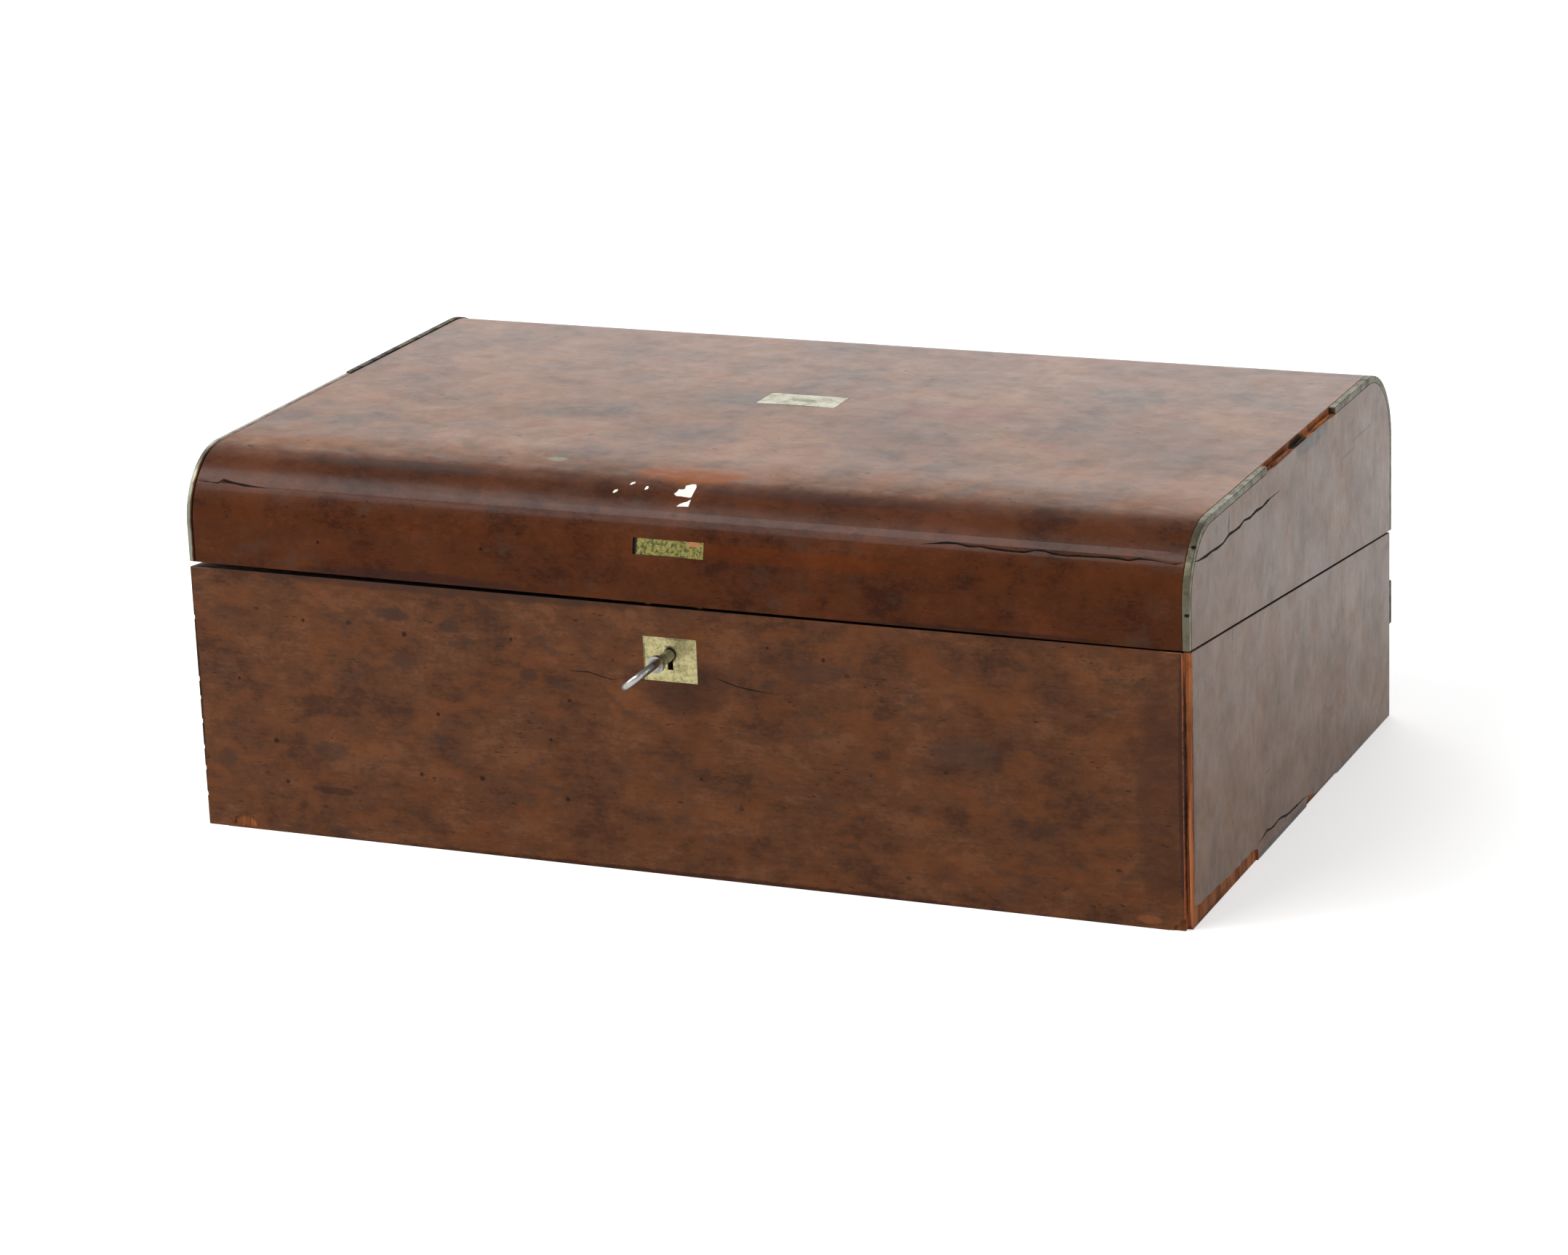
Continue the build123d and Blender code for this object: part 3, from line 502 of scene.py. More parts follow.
@dataclass(frozen=True)
class Veneer:
    """Old mahogany veneer under worn varnish.

    The eye reads soft cloudy figure first, then short fibres along the grain, then the small dents,
    dark pits and greenish smudges of long handling. The varnish is a thin broken film, so it mirrors
    little face on and turns to a pale haze where it is seen at a slant.
    """

    name: str
    deep: str
    body: str
    pale: str
    grain: Grain
    seed: float
    figure: tuple[float, float] = (30.0, 20.0)
    streak: tuple[float, float] = (9.0, 1.3)
    streaky: float = 0.2
    slant: float = 0.0
    tint: str = "#71401F"
    tint_amount: float = 0.4
    smudge: str = "#3A2E26"
    smudge_amount: float = 0.55
    pits: float = 0.9
    scratches: float = 0.35
    roughness: float = 0.42
    wavy: float = 0.5
    film_index: float = 1.2
    wax_index: float = 1.2
    wax_roughness: float = 0.3
    marks: tuple[Mark, ...] = ()
    dents: tuple[tuple[float, float, float, float], ...] = ()

    def sizes(self, along: float, across: float) -> Point:
        """Give a pattern's size along each axis, long along the grain."""
        return tuple(along if axis else across for axis in self.grain.value)

    def toned(self, g: Graph, tone: Value, warm: Value, shades: tuple[str, str, str, str]) -> Socket:
        """Turn a tone of about 0.5 into one of three shades, with warmer patches.

        Args:
            g: the graph.
            tone: the tone.
            warm: how warm each place is.
            shades: the deep, middle, pale and warm shade.

        Returns:
            The colour.
        """
        colour = g.mix(g.remap(tone, 0.41, 0.50), shades[0], shades[1])
        colour = g.mix(g.remap(tone, 0.50, 0.59), colour, shades[2])
        return g.mix(warm, colour, shades[3])

    def shaded(self, g: Graph, flat: Socket, tone: Value, warm: Value, mottle: Value) -> Socket:
        """Colour the wood at each place.

        Args:
            g: the graph.
            flat: the place in millimetres.
            tone: the tone.
            warm: how warm each place is.
            mottle: a fine unevenness that roughens any border.

        Returns:
            The colour.
        """
        return self.toned(g, tone, warm, (self.deep, self.body, self.pale, self.tint))

    def left_on(self, g: Graph, flat: Socket) -> Value:
        """Tell how much wax is left at each place: here it lies evenly.

        Args:
            g: the graph.
            flat: the place in millimetres.

        Returns:
            The share of wax.
        """
        return 1.0

    def build(self) -> Finish:
        """Build the material.

        Returns:
            The material.
        """
        g = Graph(self.name)
        flat = g.place()
        place = g.turned(flat, self.slant) if self.slant else flat
        along, across = self.figure
        seed = self.seed
        cloud = g.noise(place, self.sizes(along, across), detail=6, rough=0.6, warp=0.3, shift=seed)
        mottle = g.noise(place, self.sizes(along * 0.22, across * 0.2), detail=4, rough=0.65, shift=seed + 3)
        streak = g.noise(place, self.sizes(*self.streak), detail=3, rough=0.6, shift=seed + 5)
        fleck = g.noise(place, self.sizes(2.2, 1.1), detail=3, rough=0.7, shift=seed + 7)
        grime = g.noise(place, 17.0, detail=6, rough=0.66, warp=0.5, shift=seed + 9)
        tone = g.total(
            g.times(cloud, 0.62 - self.streaky * 0.6),
            g.times(mottle, 0.2),
            g.times(streak, self.streaky * 0.6),
            g.times(fleck, 0.18),
        )
        warm = g.noise(place, self.sizes(along * 0.8, across * 0.7), detail=4, rough=0.6, shift=seed + 13)
        warm = g.times(g.remap(warm, 0.47, 0.62), self.tint_amount)
        colour = self.shaded(g, flat, tone, warm, mottle)
        wax = g.remap(g.total(g.times(mottle, 0.6), g.times(streak, 0.4)), 0.40, 0.58, 0.82, 1.0)
        wax = g.times(wax, self.left_on(g, flat))
        smudge = g.noise(place, self.sizes(along * 0.5, across * 0.4), detail=6, rough=0.7, shift=seed + 17)
        colour = g.mix(g.times(g.remap(smudge, 0.54, 0.70), self.smudge_amount), colour, self.smudge)

        dent = g.noise(place, self.sizes(3.6, 1.0), detail=2, rough=0.5, shift=seed + 21)
        rare = g.remap(g.noise(place, 19.0, detail=2, shift=seed + 29), 0.50, 0.60)
        dent = g.times(g.remap(dent, 0.66, 0.73), rare, self.pits)
        spot = g.times(g.remap(g.cells(place, self.sizes(26, 17), seed), 0.034, 0.062, 1.0, 0.0), self.pits)
        hurt = g.math("MAXIMUM", dent, g.times(spot, 0.8))
        colour = g.mix(g.times(hurt, 0.72), colour, "#1B110D")
        crossing = g.turned(place, 24.0)
        scuff = g.noise(crossing, self.sizes(9.0, 0.5), detail=1, rough=0.4, warp=1.4, shift=seed + 33)
        scuff = g.times(g.remap(scuff, 0.70, 0.77), g.remap(grime, 0.44, 0.58, 1.0, 0.0), self.scratches)
        colour = g.mix(scuff, colour, self.pale)
        for mark in self.marks:
            colour = g.stain(colour, flat, mark, seed)
        for x, y, z, radius in self.dents:
            colour = g.dot(colour, flat, (x, y, z), radius)

        dull = g.total(g.times(grime, 0.5), g.times(streak, 0.3), g.times(fleck, 0.2))
        gloss = g.remap(dull, 0.40, 0.60, self.roughness - 0.08, self.roughness + 0.12)
        relief = g.total(
            g.times(streak, 0.4),
            g.times(fleck, 0.25),
            g.times(hurt, -1.6),
            g.times(cloud, self.wavy),
        )
        return g.finish(
            colour,
            gloss,
            g.bump(relief, 0.14),
            IOR=self.film_index,
            Coat_Weight=wax,
            Coat_IOR=self.wax_index,
            Coat_Roughness=self.wax_roughness,
        )


@dataclass(frozen=True)
class LidVeneer(Veneer):
    """The lid's veneer: hazy on top, and rubbed clear and dark down the shoulder where hands rest, with a
    band of painted shade high on the shoulder.
    """

    # The front and back shades: wood the sun hasn't bleached, and painted shade where less light falls than
    # on the top
    front: tuple[str, str, str, str] = ("#381A0B", "#4B2611", "#592E17", "#5B2F15")
    shoulder: tuple[float, float] = (-122.0, -100.0)
    back_shade: tuple[float, float] = (128.0, 150.0)

    def shaded(self, g: Graph, flat: Socket, tone: Value, warm: Value, mottle: Value) -> Socket:
        """Give the front and back darker shades than the top: wood the sun hasn't bleached, and painted
        shade.

        Args:
            g: the graph.
            flat: the place in millimetres.
            tone: the tone.
            warm: how warm each place is.
            mottle: a fine unevenness that roughens any border.

        Returns:
            The colour.
        """
        _, y, z = g.split(flat)
        ragged = g.total(y, g.times(mottle, 14.0), -7.0)
        top = g.math("MINIMUM", g.remap(ragged, *self.shoulder), g.remap(z, *self.back_shade))
        # The top's shades: bleached wood, and painted light where more light falls from above
        bleached_and_painted_light = self.toned(g, tone, warm, (self.deep, self.body, self.pale, self.tint))
        return g.mix(top, self.toned(g, tone, warm, self.front), bleached_and_painted_light)

    def left_on(self, g: Graph, flat: Socket) -> Value:
        """Leave wax on the round and on the top, and little on the front and along the shoulder.

        Args:
            g: the graph.
            flat: the place in millimetres.

        Returns:
            The share of wax.
        """
        _, y, z = g.split(flat)
        curve = g.times(g.remap(z, 138.5, 144.5, 0.14, 1.0), g.remap(y, -121.0, -115.0, 1.0, 0.0))
        top = g.total(g.remap(y, -110.0, -78.0, 0.04, 0.6), g.remap(y, -60.0, 105.0, 0.0, 0.4))
        return g.math("MAXIMUM", curve, top)


@dataclass(frozen=True)
class SideVeneer(Veneer):
    """A side's veneer, with its wax worn thinner towards the foot and the front."""

    def left_on(self, g: Graph, flat: Socket) -> Value:
        """Leave less wax near the foot, and more towards the back.

        Args:
            g: the graph.
            flat: the place in millimetres.

        Returns:
            The share of wax.
        """
        _, y, z = g.split(flat)
        return g.times(g.remap(z, 0.0, 125.0, 0.6, 1.0), g.remap(y, 50.0, 130.0, 1.0, 1.2))


@dataclass(frozen=True)
class PlainWood:
    """Solid wood with little or no varnish: the eye reads open fibres, pores and ingrained dirt."""

    name: str
    dark: str
    light: str
    grain: Grain
    roughness: float
    seed: float
    marks: tuple[Mark, ...] = ()
    fibre_size: float = 0.7
    sheen: float = 0.3

    def build(self) -> Finish:
        """Build the material.

        Returns:
            The material.
        """
        g = Graph(self.name)
        place = g.place()
        along = tuple(46.0 if axis else self.fibre_size for axis in self.grain.value)
        broad = tuple(160.0 if axis else 9.0 for axis in self.grain.value)
        fibre = g.noise(place, along, detail=4, rough=0.65, shift=self.seed)
        ring = g.noise(place, broad, detail=3, rough=0.5, warp=0.5, shift=self.seed + 2)
        dirt = g.noise(place, 9.0, detail=5, rough=0.68, shift=self.seed + 4)
        tone = g.total(g.times(fibre, 0.5), g.times(ring, 0.5))
        colour = g.mix(g.remap(tone, 0.40, 0.60), self.dark, self.light)
        colour = g.mix(g.times(g.remap(dirt, 0.5, 0.66), 0.55), colour, self.dark)
        for mark in self.marks:
            colour = g.stain(colour, place, mark, self.seed)
        normal = g.bump(g.total(fibre, g.times(ring, 0.5)), 0.22)
        rough = g.remap(dirt, 0.35, 0.65, self.roughness - 0.05, self.roughness + 0.08)
        return g.finish(colour, rough, normal, Specular_IOR_Level=self.sheen)


@dataclass(frozen=True)
class Brass:
    """Aged brass: a pale metal under a greenish-brown film, brighter where hands rub it."""

    name: str
    metal: str
    film: str
    film_amount: float
    roughness: float
    seed: float
    rub: float = 0.25
    corrosion: str = "#3C4A2C"
    corrosion_amount: float = 0.0
    marks: tuple[Mark, ...] = ()
    brushed: Grain = Grain.ALONG_X
    metallic: float = 1.0

    def build(self) -> Finish:
        """Build the material.

        Returns:
            The material.
        """
        g = Graph(self.name)
        place = g.place()
        film = g.noise(place, 6.0, detail=6, rough=0.68, shift=self.seed)
        fine = g.noise(place, 1.2, detail=4, rough=0.7, shift=self.seed + 2)
        line = tuple(14.0 if axis else 0.25 for axis in self.brushed.value)
        scratch = g.noise(place, line, detail=2, rough=0.6, shift=self.seed + 4)
        amount = g.total(g.times(film, 0.7), g.times(fine, 0.3))
        low = 0.60 - 0.22 * self.film_amount
        covered = g.remap(amount, low, low + 0.16)
        colour = g.mix(g.times(covered, self.film_amount), self.metal, self.film)
        colour = g.mix(g.times(g.remap(scratch, 0.55, 0.7), self.rub), colour, self.metal)
        if self.corrosion_amount:
            crust = g.noise(place, 1.5, detail=5, rough=0.75, shift=self.seed + 6)
            crust = g.times(g.remap(crust, 0.47, 0.58), self.corrosion_amount)
            colour = g.mix(crust, colour, self.corrosion)
        for mark in self.marks:
            colour = g.stain(colour, place, mark, self.seed)
        rough = g.remap(amount, 0.38, 0.62, self.roughness - 0.08, self.roughness + 0.16)
        normal = g.bump(g.total(fine, g.times(scratch, 0.8)), 0.05)
        return g.finish(colour, rough, normal, Metallic=self.metallic)


@dataclass(frozen=True)
class Steel:
    """Dull iron or steel with a little brown tarnish in its hollows."""

    name: str
    metal: str
    tarnish: str
    tarnish_amount: float
    roughness: float

    def build(self) -> Finish:
        """Build the material.

        Returns:
            The material.
        """
        g = Graph(self.name)
        place = g.place()
        cloud = g.noise(place, 3.5, detail=5, rough=0.65)
        grit = g.noise(place, 0.5, detail=3, rough=0.6, shift=4)
        tarnish = g.times(g.remap(cloud, 0.45, 0.65), self.tarnish_amount)
        colour = g.mix(tarnish, self.metal, self.tarnish)
        rough = g.remap(cloud, 0.35, 0.65, self.roughness - 0.06, self.roughness + 0.18)
        return g.finish(colour, rough, g.bump(grit, 0.04), Metallic=1.0)


@dataclass(frozen=True)
class WritingLeather:
    """Thin skiver glued to a flap: pebbled grain, ink spots and a dull gilt line near its border."""

    name: str
    centre_y: float
    half_x: float
    half_y: float
    body: str = "#3B1D16"
    worn: str = "#6A4334"
    gilt: str = "#9C7C44"

    def build(self) -> Finish:
        """Build the material.

        Returns:
            The material.
        """
        g = Graph(self.name)
        place = g.place()
        x, y, _ = g.split(place)
        pebble = g.cells(place, 0.85)
        wear = g.noise(place, 46.0, detail=5, rough=0.6, shift=2)
        ink = g.noise(place, 9.0, detail=3, rough=0.5, shift=11)
        colour = g.mix(g.times(g.remap(wear, 0.46, 0.66), 0.6), self.body, self.worn)
        colour = g.mix(g.times(g.remap(ink, 0.70, 0.74), 0.85), colour, "#0E0C12")
        colour = g.mix(g.times(g.remap(pebble, 0.45, 0.75), 0.35), colour, "#1C0D09")
        side = g.math("SUBTRACT", self.half_x, g.math("ABSOLUTE", x))
        end = g.math("SUBTRACT", self.half_y, g.math("ABSOLUTE", g.math("SUBTRACT", y, self.centre_y)))
        border = g.math("MINIMUM", side, end)
        lines = g.math("MAXIMUM", g.band(border, 4.0, 4.6, 0.1), g.band(border, 6.2, 7.6, 0.12))
        rubbed = g.remap(g.noise(place, 5.0, detail=4, shift=17), 0.36, 0.56)
        colour = g.mix(g.times(lines, rubbed, 0.85), colour, self.gilt)
        relief = g.total(g.times(pebble, -0.8), g.times(lines, -0.5))
        rough = g.remap(wear, 0.35, 0.65, 0.42, 0.62)
        return g.finish(colour, rough, g.bump(relief, 0.12), Specular_IOR_Level=0.35)


@dataclass(frozen=True)
class PressedGlass:
    """Thick pressed glass, faintly green, with dried ink clinging low on its inside."""

    name: str

    def build(self) -> Finish:
        """Build the material.

        Returns:
            The material.
        """
        g = Graph(self.name)
        place = g.place()
        wave = g.noise(place, 7.0, detail=2, rough=0.4)
        stain = g.noise(place, (16.0, 16.0, 6.0), detail=4, rough=0.6, shift=5)
        colour = g.mix(g.times(g.remap(stain, 0.52, 0.68), 0.55), "#DCE6DF", "#2B3350")
        return g.finish(colour, 0.06, g.bump(wave, 0.2), Transmission_Weight=0.9, IOR=1.5)


@dataclass(frozen=True)
class GrimeAndShade:
    """The dark inside of a crack or an open rebate: dust and old wax over wood, darkened further as painted
    shade.
    """

    name: str

    def build(self) -> Finish:
        """Build the material.

        Returns:
            The material.
        """
        g = Graph(self.name)
        # Near-black to dark brown: dirt in the crevice, and painted shade
        dust = g.noise(g.place(), 2.0, detail=4, rough=0.6)
        return g.finish(g.mix(g.remap(dust, 0.4, 0.7), "#100A07", "#2A1A11"), 0.85, g.bump(dust, 0.1))


@dataclass(frozen=True)
class TornPaper:
    """Thin rag paper that tore when it was pulled off: white, with soft fibres and a brown glue edge."""

    name: str

    def build(self) -> Finish:
        """Build the material.

        Returns:
            The material.
        """
        g = Graph(self.name)
        place = g.place()
        fibre = g.noise(place, 0.5, detail=3, rough=0.6)
        glue = g.noise(place, 2.4, detail=3, rough=0.6, shift=8)
        colour = g.mix(g.times(g.remap(glue, 0.56, 0.7), 0.35), "#F1EFE9", "#C9B39A")
        colour = g.mix(g.times(g.remap(fibre, 0.5, 0.7), 0.2), colour, "#DAD6CC")
        return g.finish(colour, 0.8, g.bump(fibre, 0.03))


def pin_marks(places: tuple[tuple[float, float], ...]) -> tuple[Mark, ...]:
    """Mark the small pins that hold the right edging: dark heads, with painted shade in their holes.

    Args:
        places: y and z of each pin.

    Returns:
        One dark dot for each pin.
    """
    x = HALF_WIDTH - PIN_INSET
    return tuple(Mark((x, y, z), (2.2, 1.5, 1.5), "#14100B", 0.95, 0.6) for y, z in places)


@dataclass
class Palette:
    """Every finish of the box, built once and shared."""

    base: Finish = field(init=False)
    lid: Finish = field(init=False)
    side: Finish = field(init=False)
    bare: Finish = field(init=False)
    rubbed: Finish = field(init=False)
    split: Finish = field(init=False)
    rim: Finish = field(init=False)
    inner: Finish = field(init=False)
    underside: Finish = field(init=False)
    grime: Finish = field(init=False)
    paper: Finish = field(init=False)
    edging: Finish = field(init=False)
    left_edging: Finish = field(init=False)
    dark_edging: Finish = field(init=False)
    plate: Finish = field(init=False)
    nameplate: Finish = field(init=False)
    inlay: Finish = field(init=False)
    brass: Finish = field(init=False)
    key_steel: Finish = field(init=False)
    steel: Finish = field(init=False)
    base_leather: Finish = field(init=False)
    lid_leather: Finish = field(init=False)
    glass: Finish = field(init=False)

    def __post_init__(self) -> None:
        """Build each finish."""
        self.build_veneers()
        self.build_woods()
        self.build_metals()
        self.base_leather = WritingLeather("base_leather", centre_y=27.5, half_x=187.4, half_y=85.2).build()
        self.lid_leather = WritingLeather("lid_leather", centre_y=0.6, half_x=187.4, half_y=111.0).build()
        self.glass = PressedGlass("pressed_glass").build()
        # The inside of cracks and of the inlay's recess: dirt, and painted shade
        self.grime = GrimeAndShade("grime").build()
        self.paper = TornPaper("torn_paper").build()

    def build_veneers(self) -> None:
        """Build the veneer of the base, the lid and the two sides."""
        self.base = Veneer(
            name="veneer_base",
            deep="#442818",
            body="#583520",
            pale="#69422A",
            grain=Grain.ALONG_X,
            seed=1.0,
            film_index=1.14,
            wax_index=1.14,
            marks=(
                # Painted shade along the top of the front, just below the gap under the lid
                Mark((-90, -136, 109), (150, 4, 5.0), "#33221A", 0.6, 12.0),
                Mark((-120, -136, 97), (15, 4, 5), "#3A2A22", 0.7, 6.0),
                Mark((-95, -136, 94), (9, 4, 5), "#37271F", 0.65, 5.0),
                Mark((-61, -136, 77), (7, 4, 5), "#33231C", 0.6, 3.0),
                Mark((-116, -136, 78), (12, 4, 6), "#3C2B22", 0.5, 5.0),
                Mark((-151, -136, 37), (14, 4, 7), "#3A2920", 0.5, 6.0),
                Mark((-199, -136, 29), (8, 4, 9), "#3A2A22", 0.45, 5.0),
                Mark((-150, -136, 20), (16, 4, 3), "#2A1710", 0.55, 4.0),
                # Painted shadow of the key, cast on the front below the keyhole plate
                Mark((6, -136, 78), (34, 4, 20), "#3A2419", 0.5, 14.0),
                # Grime, and painted shade of the corner, down the left end of the front
                Mark((-210.2, -136, 60), (2.6, 4, 90), "#20130D", 0.9, 5.0),
                # Grime, and painted contact shade, along the foot of the front
                Mark((0, -136, -1), (300, 4, 5), "#2E170E", 0.8, 5.0),
                Mark((198, -136, 55), (17, 4, 90), "#3F261A", 0.5, 12.0),
                # Painted shade: a dark line down the front's right end, beside the open corner
                Mark((206.5, -136, 60), (2.6, 4, 90), "#33201A", 0.75, 4.0),
                Mark((120, -136, 62), (26, 4, 12), "#40302A", 0.45, 9.0),
                Mark((58, -136, 88), (22, 4, 9), "#3A2A23", 0.45, 8.0),
                Mark((193, -136, 3.5), (9, 4, 3), "#8A5030", 0.6, 3.0),
            ),
            dents=(
                (-160, -136, 91, 0.9), (-115, -136, 89, 1.2), (-176, -136, 39, 1.4), (-111, -136, 31, 1.0),
                (-84, -136, 32, 1.3), (-68, -136, 91, 0.8), (-172, -136, 22, 0.9), (-102, -136, 57, 1.0),
                (-191, -136, 64, 0.8), (-44, -136, 68, 0.9), (-53, -136, 51, 0.8), (-47, -136, 27, 1.2),
                (11, -136, 41, 0.9), (64, -136, 94, 1.0), (41, -136, 97, 0.7),
            ),
        ).build()
        self.lid = LidVeneer(
            name="veneer_lid",
            deep="#50321F",
            body="#6C4426",
            pale="#835737",
            grain=Grain.ALONG_X,
            seed=41.0,
            figure=(46.0, 44.0),
            streak=(10.0, 3.0),
            streaky=0.2,
            slant=9.0,
            tint="#86522E",
            smudge="#43342A",
            roughness=0.36,
            wavy=0.3,
            film_index=1.12,
            wax_index=1.25,
            marks=(
                Mark((-150, -136, 121), (60, 12, 8), "#6A3214", 0.15, 10.0),
                Mark((40, -136, 133), (120, 12, 6), "#65300F", 0.35, 12.0),
                # Painted shade along the lid's lower edge, just above the gap
                Mark((-110, -136, 112), (90, 8, 6), "#2E1B18", 0.6, 9.0),
                Mark((125, -136, 110.5), (95, 6, 3.2), "#2A1813", 0.6, 6.0),
                # Painted highlight along the lid's lower edge
                Mark((-60, -136, 110.2), (130, 6, 1.4), "#5E4A3E", 0.5, 5.0),
                Mark((2, -107, 154), (40, 17.0, 8), "#85450F", 0.8, 9.0),
                Mark((-26, 4, 155), (34, 19, 5), "#43302A", 0.55, 11.0),
                Mark((70, 6, 155), (44, 17, 5), "#743420", 0.6, 13.0),
                Mark((60, -38, 155), (56, 46, 5), "#5C3826", 0.4, 16.0),
                Mark((165, -25, 155), (42, 80, 5), "#573A26", 0.4, 18.0),
                Mark((-22, -57, 155), (34, 15, 5), "#4A3530", 0.5, 10.0),
                Mark((-61, -100, 155), (7.5, 5.5, 3), "#7B8A70", 0.6, 2.4),
                Mark((190, 87, 155), (3.6, 2.2, 3), "#160C08", 0.95, 1.5),
                # Painted shade: a dark band high on the shoulder, where the curve mirrors the dark overhead
                Mark((-120, -118, 152.5), (80, 6, 4), "#33241F", 0.6, 11.0),
                Mark((60, -119, 152.5), (100, 6, 4), "#3A2018", 0.5, 11.0),
            ),
            dents=(
                (-152, -20, 155, 1.2), (-173, -11, 155, 1.0), (-64, -63, 155, 1.4), (-172, -100, 155, 1.0),
                (-92, -71, 155, 1.2), (-7, -70, 155, 1.1), (65, -88, 155, 1.2), (21, 66, 155, 1.3),
                (73, -25, 155, 1.0), (146, -4, 155, 1.3), (-122, -136, 136, 0.9), (-151, -136, 124, 0.8),
                (-79, -136, 127, 0.8),
            ),
        ).build()
        self.side = SideVeneer(
            name="veneer_side",
            deep="#573819",
            body="#63401F",
            pale="#6E4A28",
            grain=Grain.ALONG_Z,
            seed=77.0,
            figure=(30.0, 24.0),
            streak=(9.0, 2.0),
            streaky=0.12,
            tint="#5A3A22",
            smudge="#3F3430",
            smudge_amount=0.3,
            pits=0.9,
            roughness=0.36,
            film_index=1.15,
            wax_index=1.18,
            marks=(
                Mark((210, -133, 60), (4, 5, 90), "#33211B", 0.6, 6.0),
                Mark((210, -104, 30), (4, 4, 6), "#5A2C1C", 0.5, 2.0),
                Mark((210, 20, 150), (4, 40, 6), "#241B15", 0.8, 5.0),
                Mark((210, -87, 145), (4, 1.8, 9), "#17100D", 0.9, 1.2),
                Mark((210, -102, 147.5), (4, 3.2, 3.2), "#17100D", 0.8, 1.2),
                Mark((210, -28.5, 65), (4, 1.5, 8), "#2A1D18", 0.8, 1.2),
                Mark((210, -84, 102), (4, 1.5, 6), "#2A1D18", 0.8, 1.2),
                Mark((210, 93, 134.8), (4, 28, 1.3), "#2A1D18", 0.75, 1.4),
                Mark((210, 72, 131.2), (4, 18, 1.2), "#2A1D18", 0.7, 1.4),
                Mark((210, -40, 32.5), (4, 9, 0.8), "#2E201A", 0.7, 1.4),
                Mark((210, 126, 76), (4, 12, 3), "#2E201A", 0.6, 3.0),
                Mark((210, -96, 60), (4, 0.9, 9), "#3A2B26", 0.6, 2.0),
                # Grime, and painted contact shade, along the foot of the side
                Mark((210, 0, 0), (4, 170, 5), "#2A1A13", 0.75, 5.0),
            ),
        ).build()

    def build_woods(self) -> None:
        """Build the bare, split, rubbed and inner woods."""
        self.bare = PlainWood(
            name="bare_wood",
            dark="#6B3B20",
            light="#A8683C",
            grain=Grain.ALONG_Z,
            roughness=0.75,
            seed=9.0,
            sheen=0.16,
            marks=(
                Mark((208, 7, 152), (5, 17, 6), "#241B12", 0.95, 4.0),
                Mark((208, 134, 60), (6, 6, 90), "#33200F", 0.8, 5.0),
                Mark((207, -133, 104), (3, 3, 8), "#8A4A28", 0.5, 3.0),
            ),
        ).build()
        self.split = PlainWood(
            name="split_wood",
            dark="#8C4A26",
            light="#C07646",
            grain=Grain.ALONG_Z,
            roughness=0.7,
            seed=31.0,
            marks=(
                # Painted shade on the open corner's inner wall
                Mark((207.2, -134.5, 60), (1.2, 3.0, 90), "#1C110B", 0.9, 3.0),
                Mark((210.2, -133, 60), (0.8, 0.9, 90), "#2A1A12", 0.9, 3.0),
                # Grime, and painted contact shade, at the foot of the open corner
                Mark((209, -133, -1), (6, 6, 5), "#3A2418", 0.7, 3.0),
            ),
        ).build()
        # Paler wood on the eased top front edge of the base: wear, and a painted highlight
        self.rubbed = PlainWood(
            "rubbed_and_highlit_wood", "#5E3A26", "#8C5C3C", Grain.ALONG_X, roughness=0.5, seed=37.0
        ).build()
        self.rim = PlainWood(
            name="rim_wood_and_gap_shade",
            dark="#3A2014",
            light="#6A3F28",
            grain=Grain.ALONG_X,
            roughness=0.6,
            seed=15.0,
            marks=(
                # Near-black painted shade where the rim shows through the gap, at the front and on the right
                Mark((0, -137, 110), (520, 11, 9), "#080403", 1.0, 4.0),
                Mark((211, 0, 95), (8, 260, 40), "#080403", 1.0, 4.0),
            ),
        ).build()
        self.inner = PlainWood(
            "inner_wood", "#4A2C1A", "#7A4D30", Grain.ALONG_X, roughness=0.5, seed=19.0
        ).build()
        self.underside = PlainWood(
            "underside_wood", "#4E3A28", "#8A6A48", Grain.ALONG_X, roughness=0.85, seed=23.0
        ).build()

    def build_metals(self) -> None:
        """Build the brass of the mounts and the steel of the lock and key."""
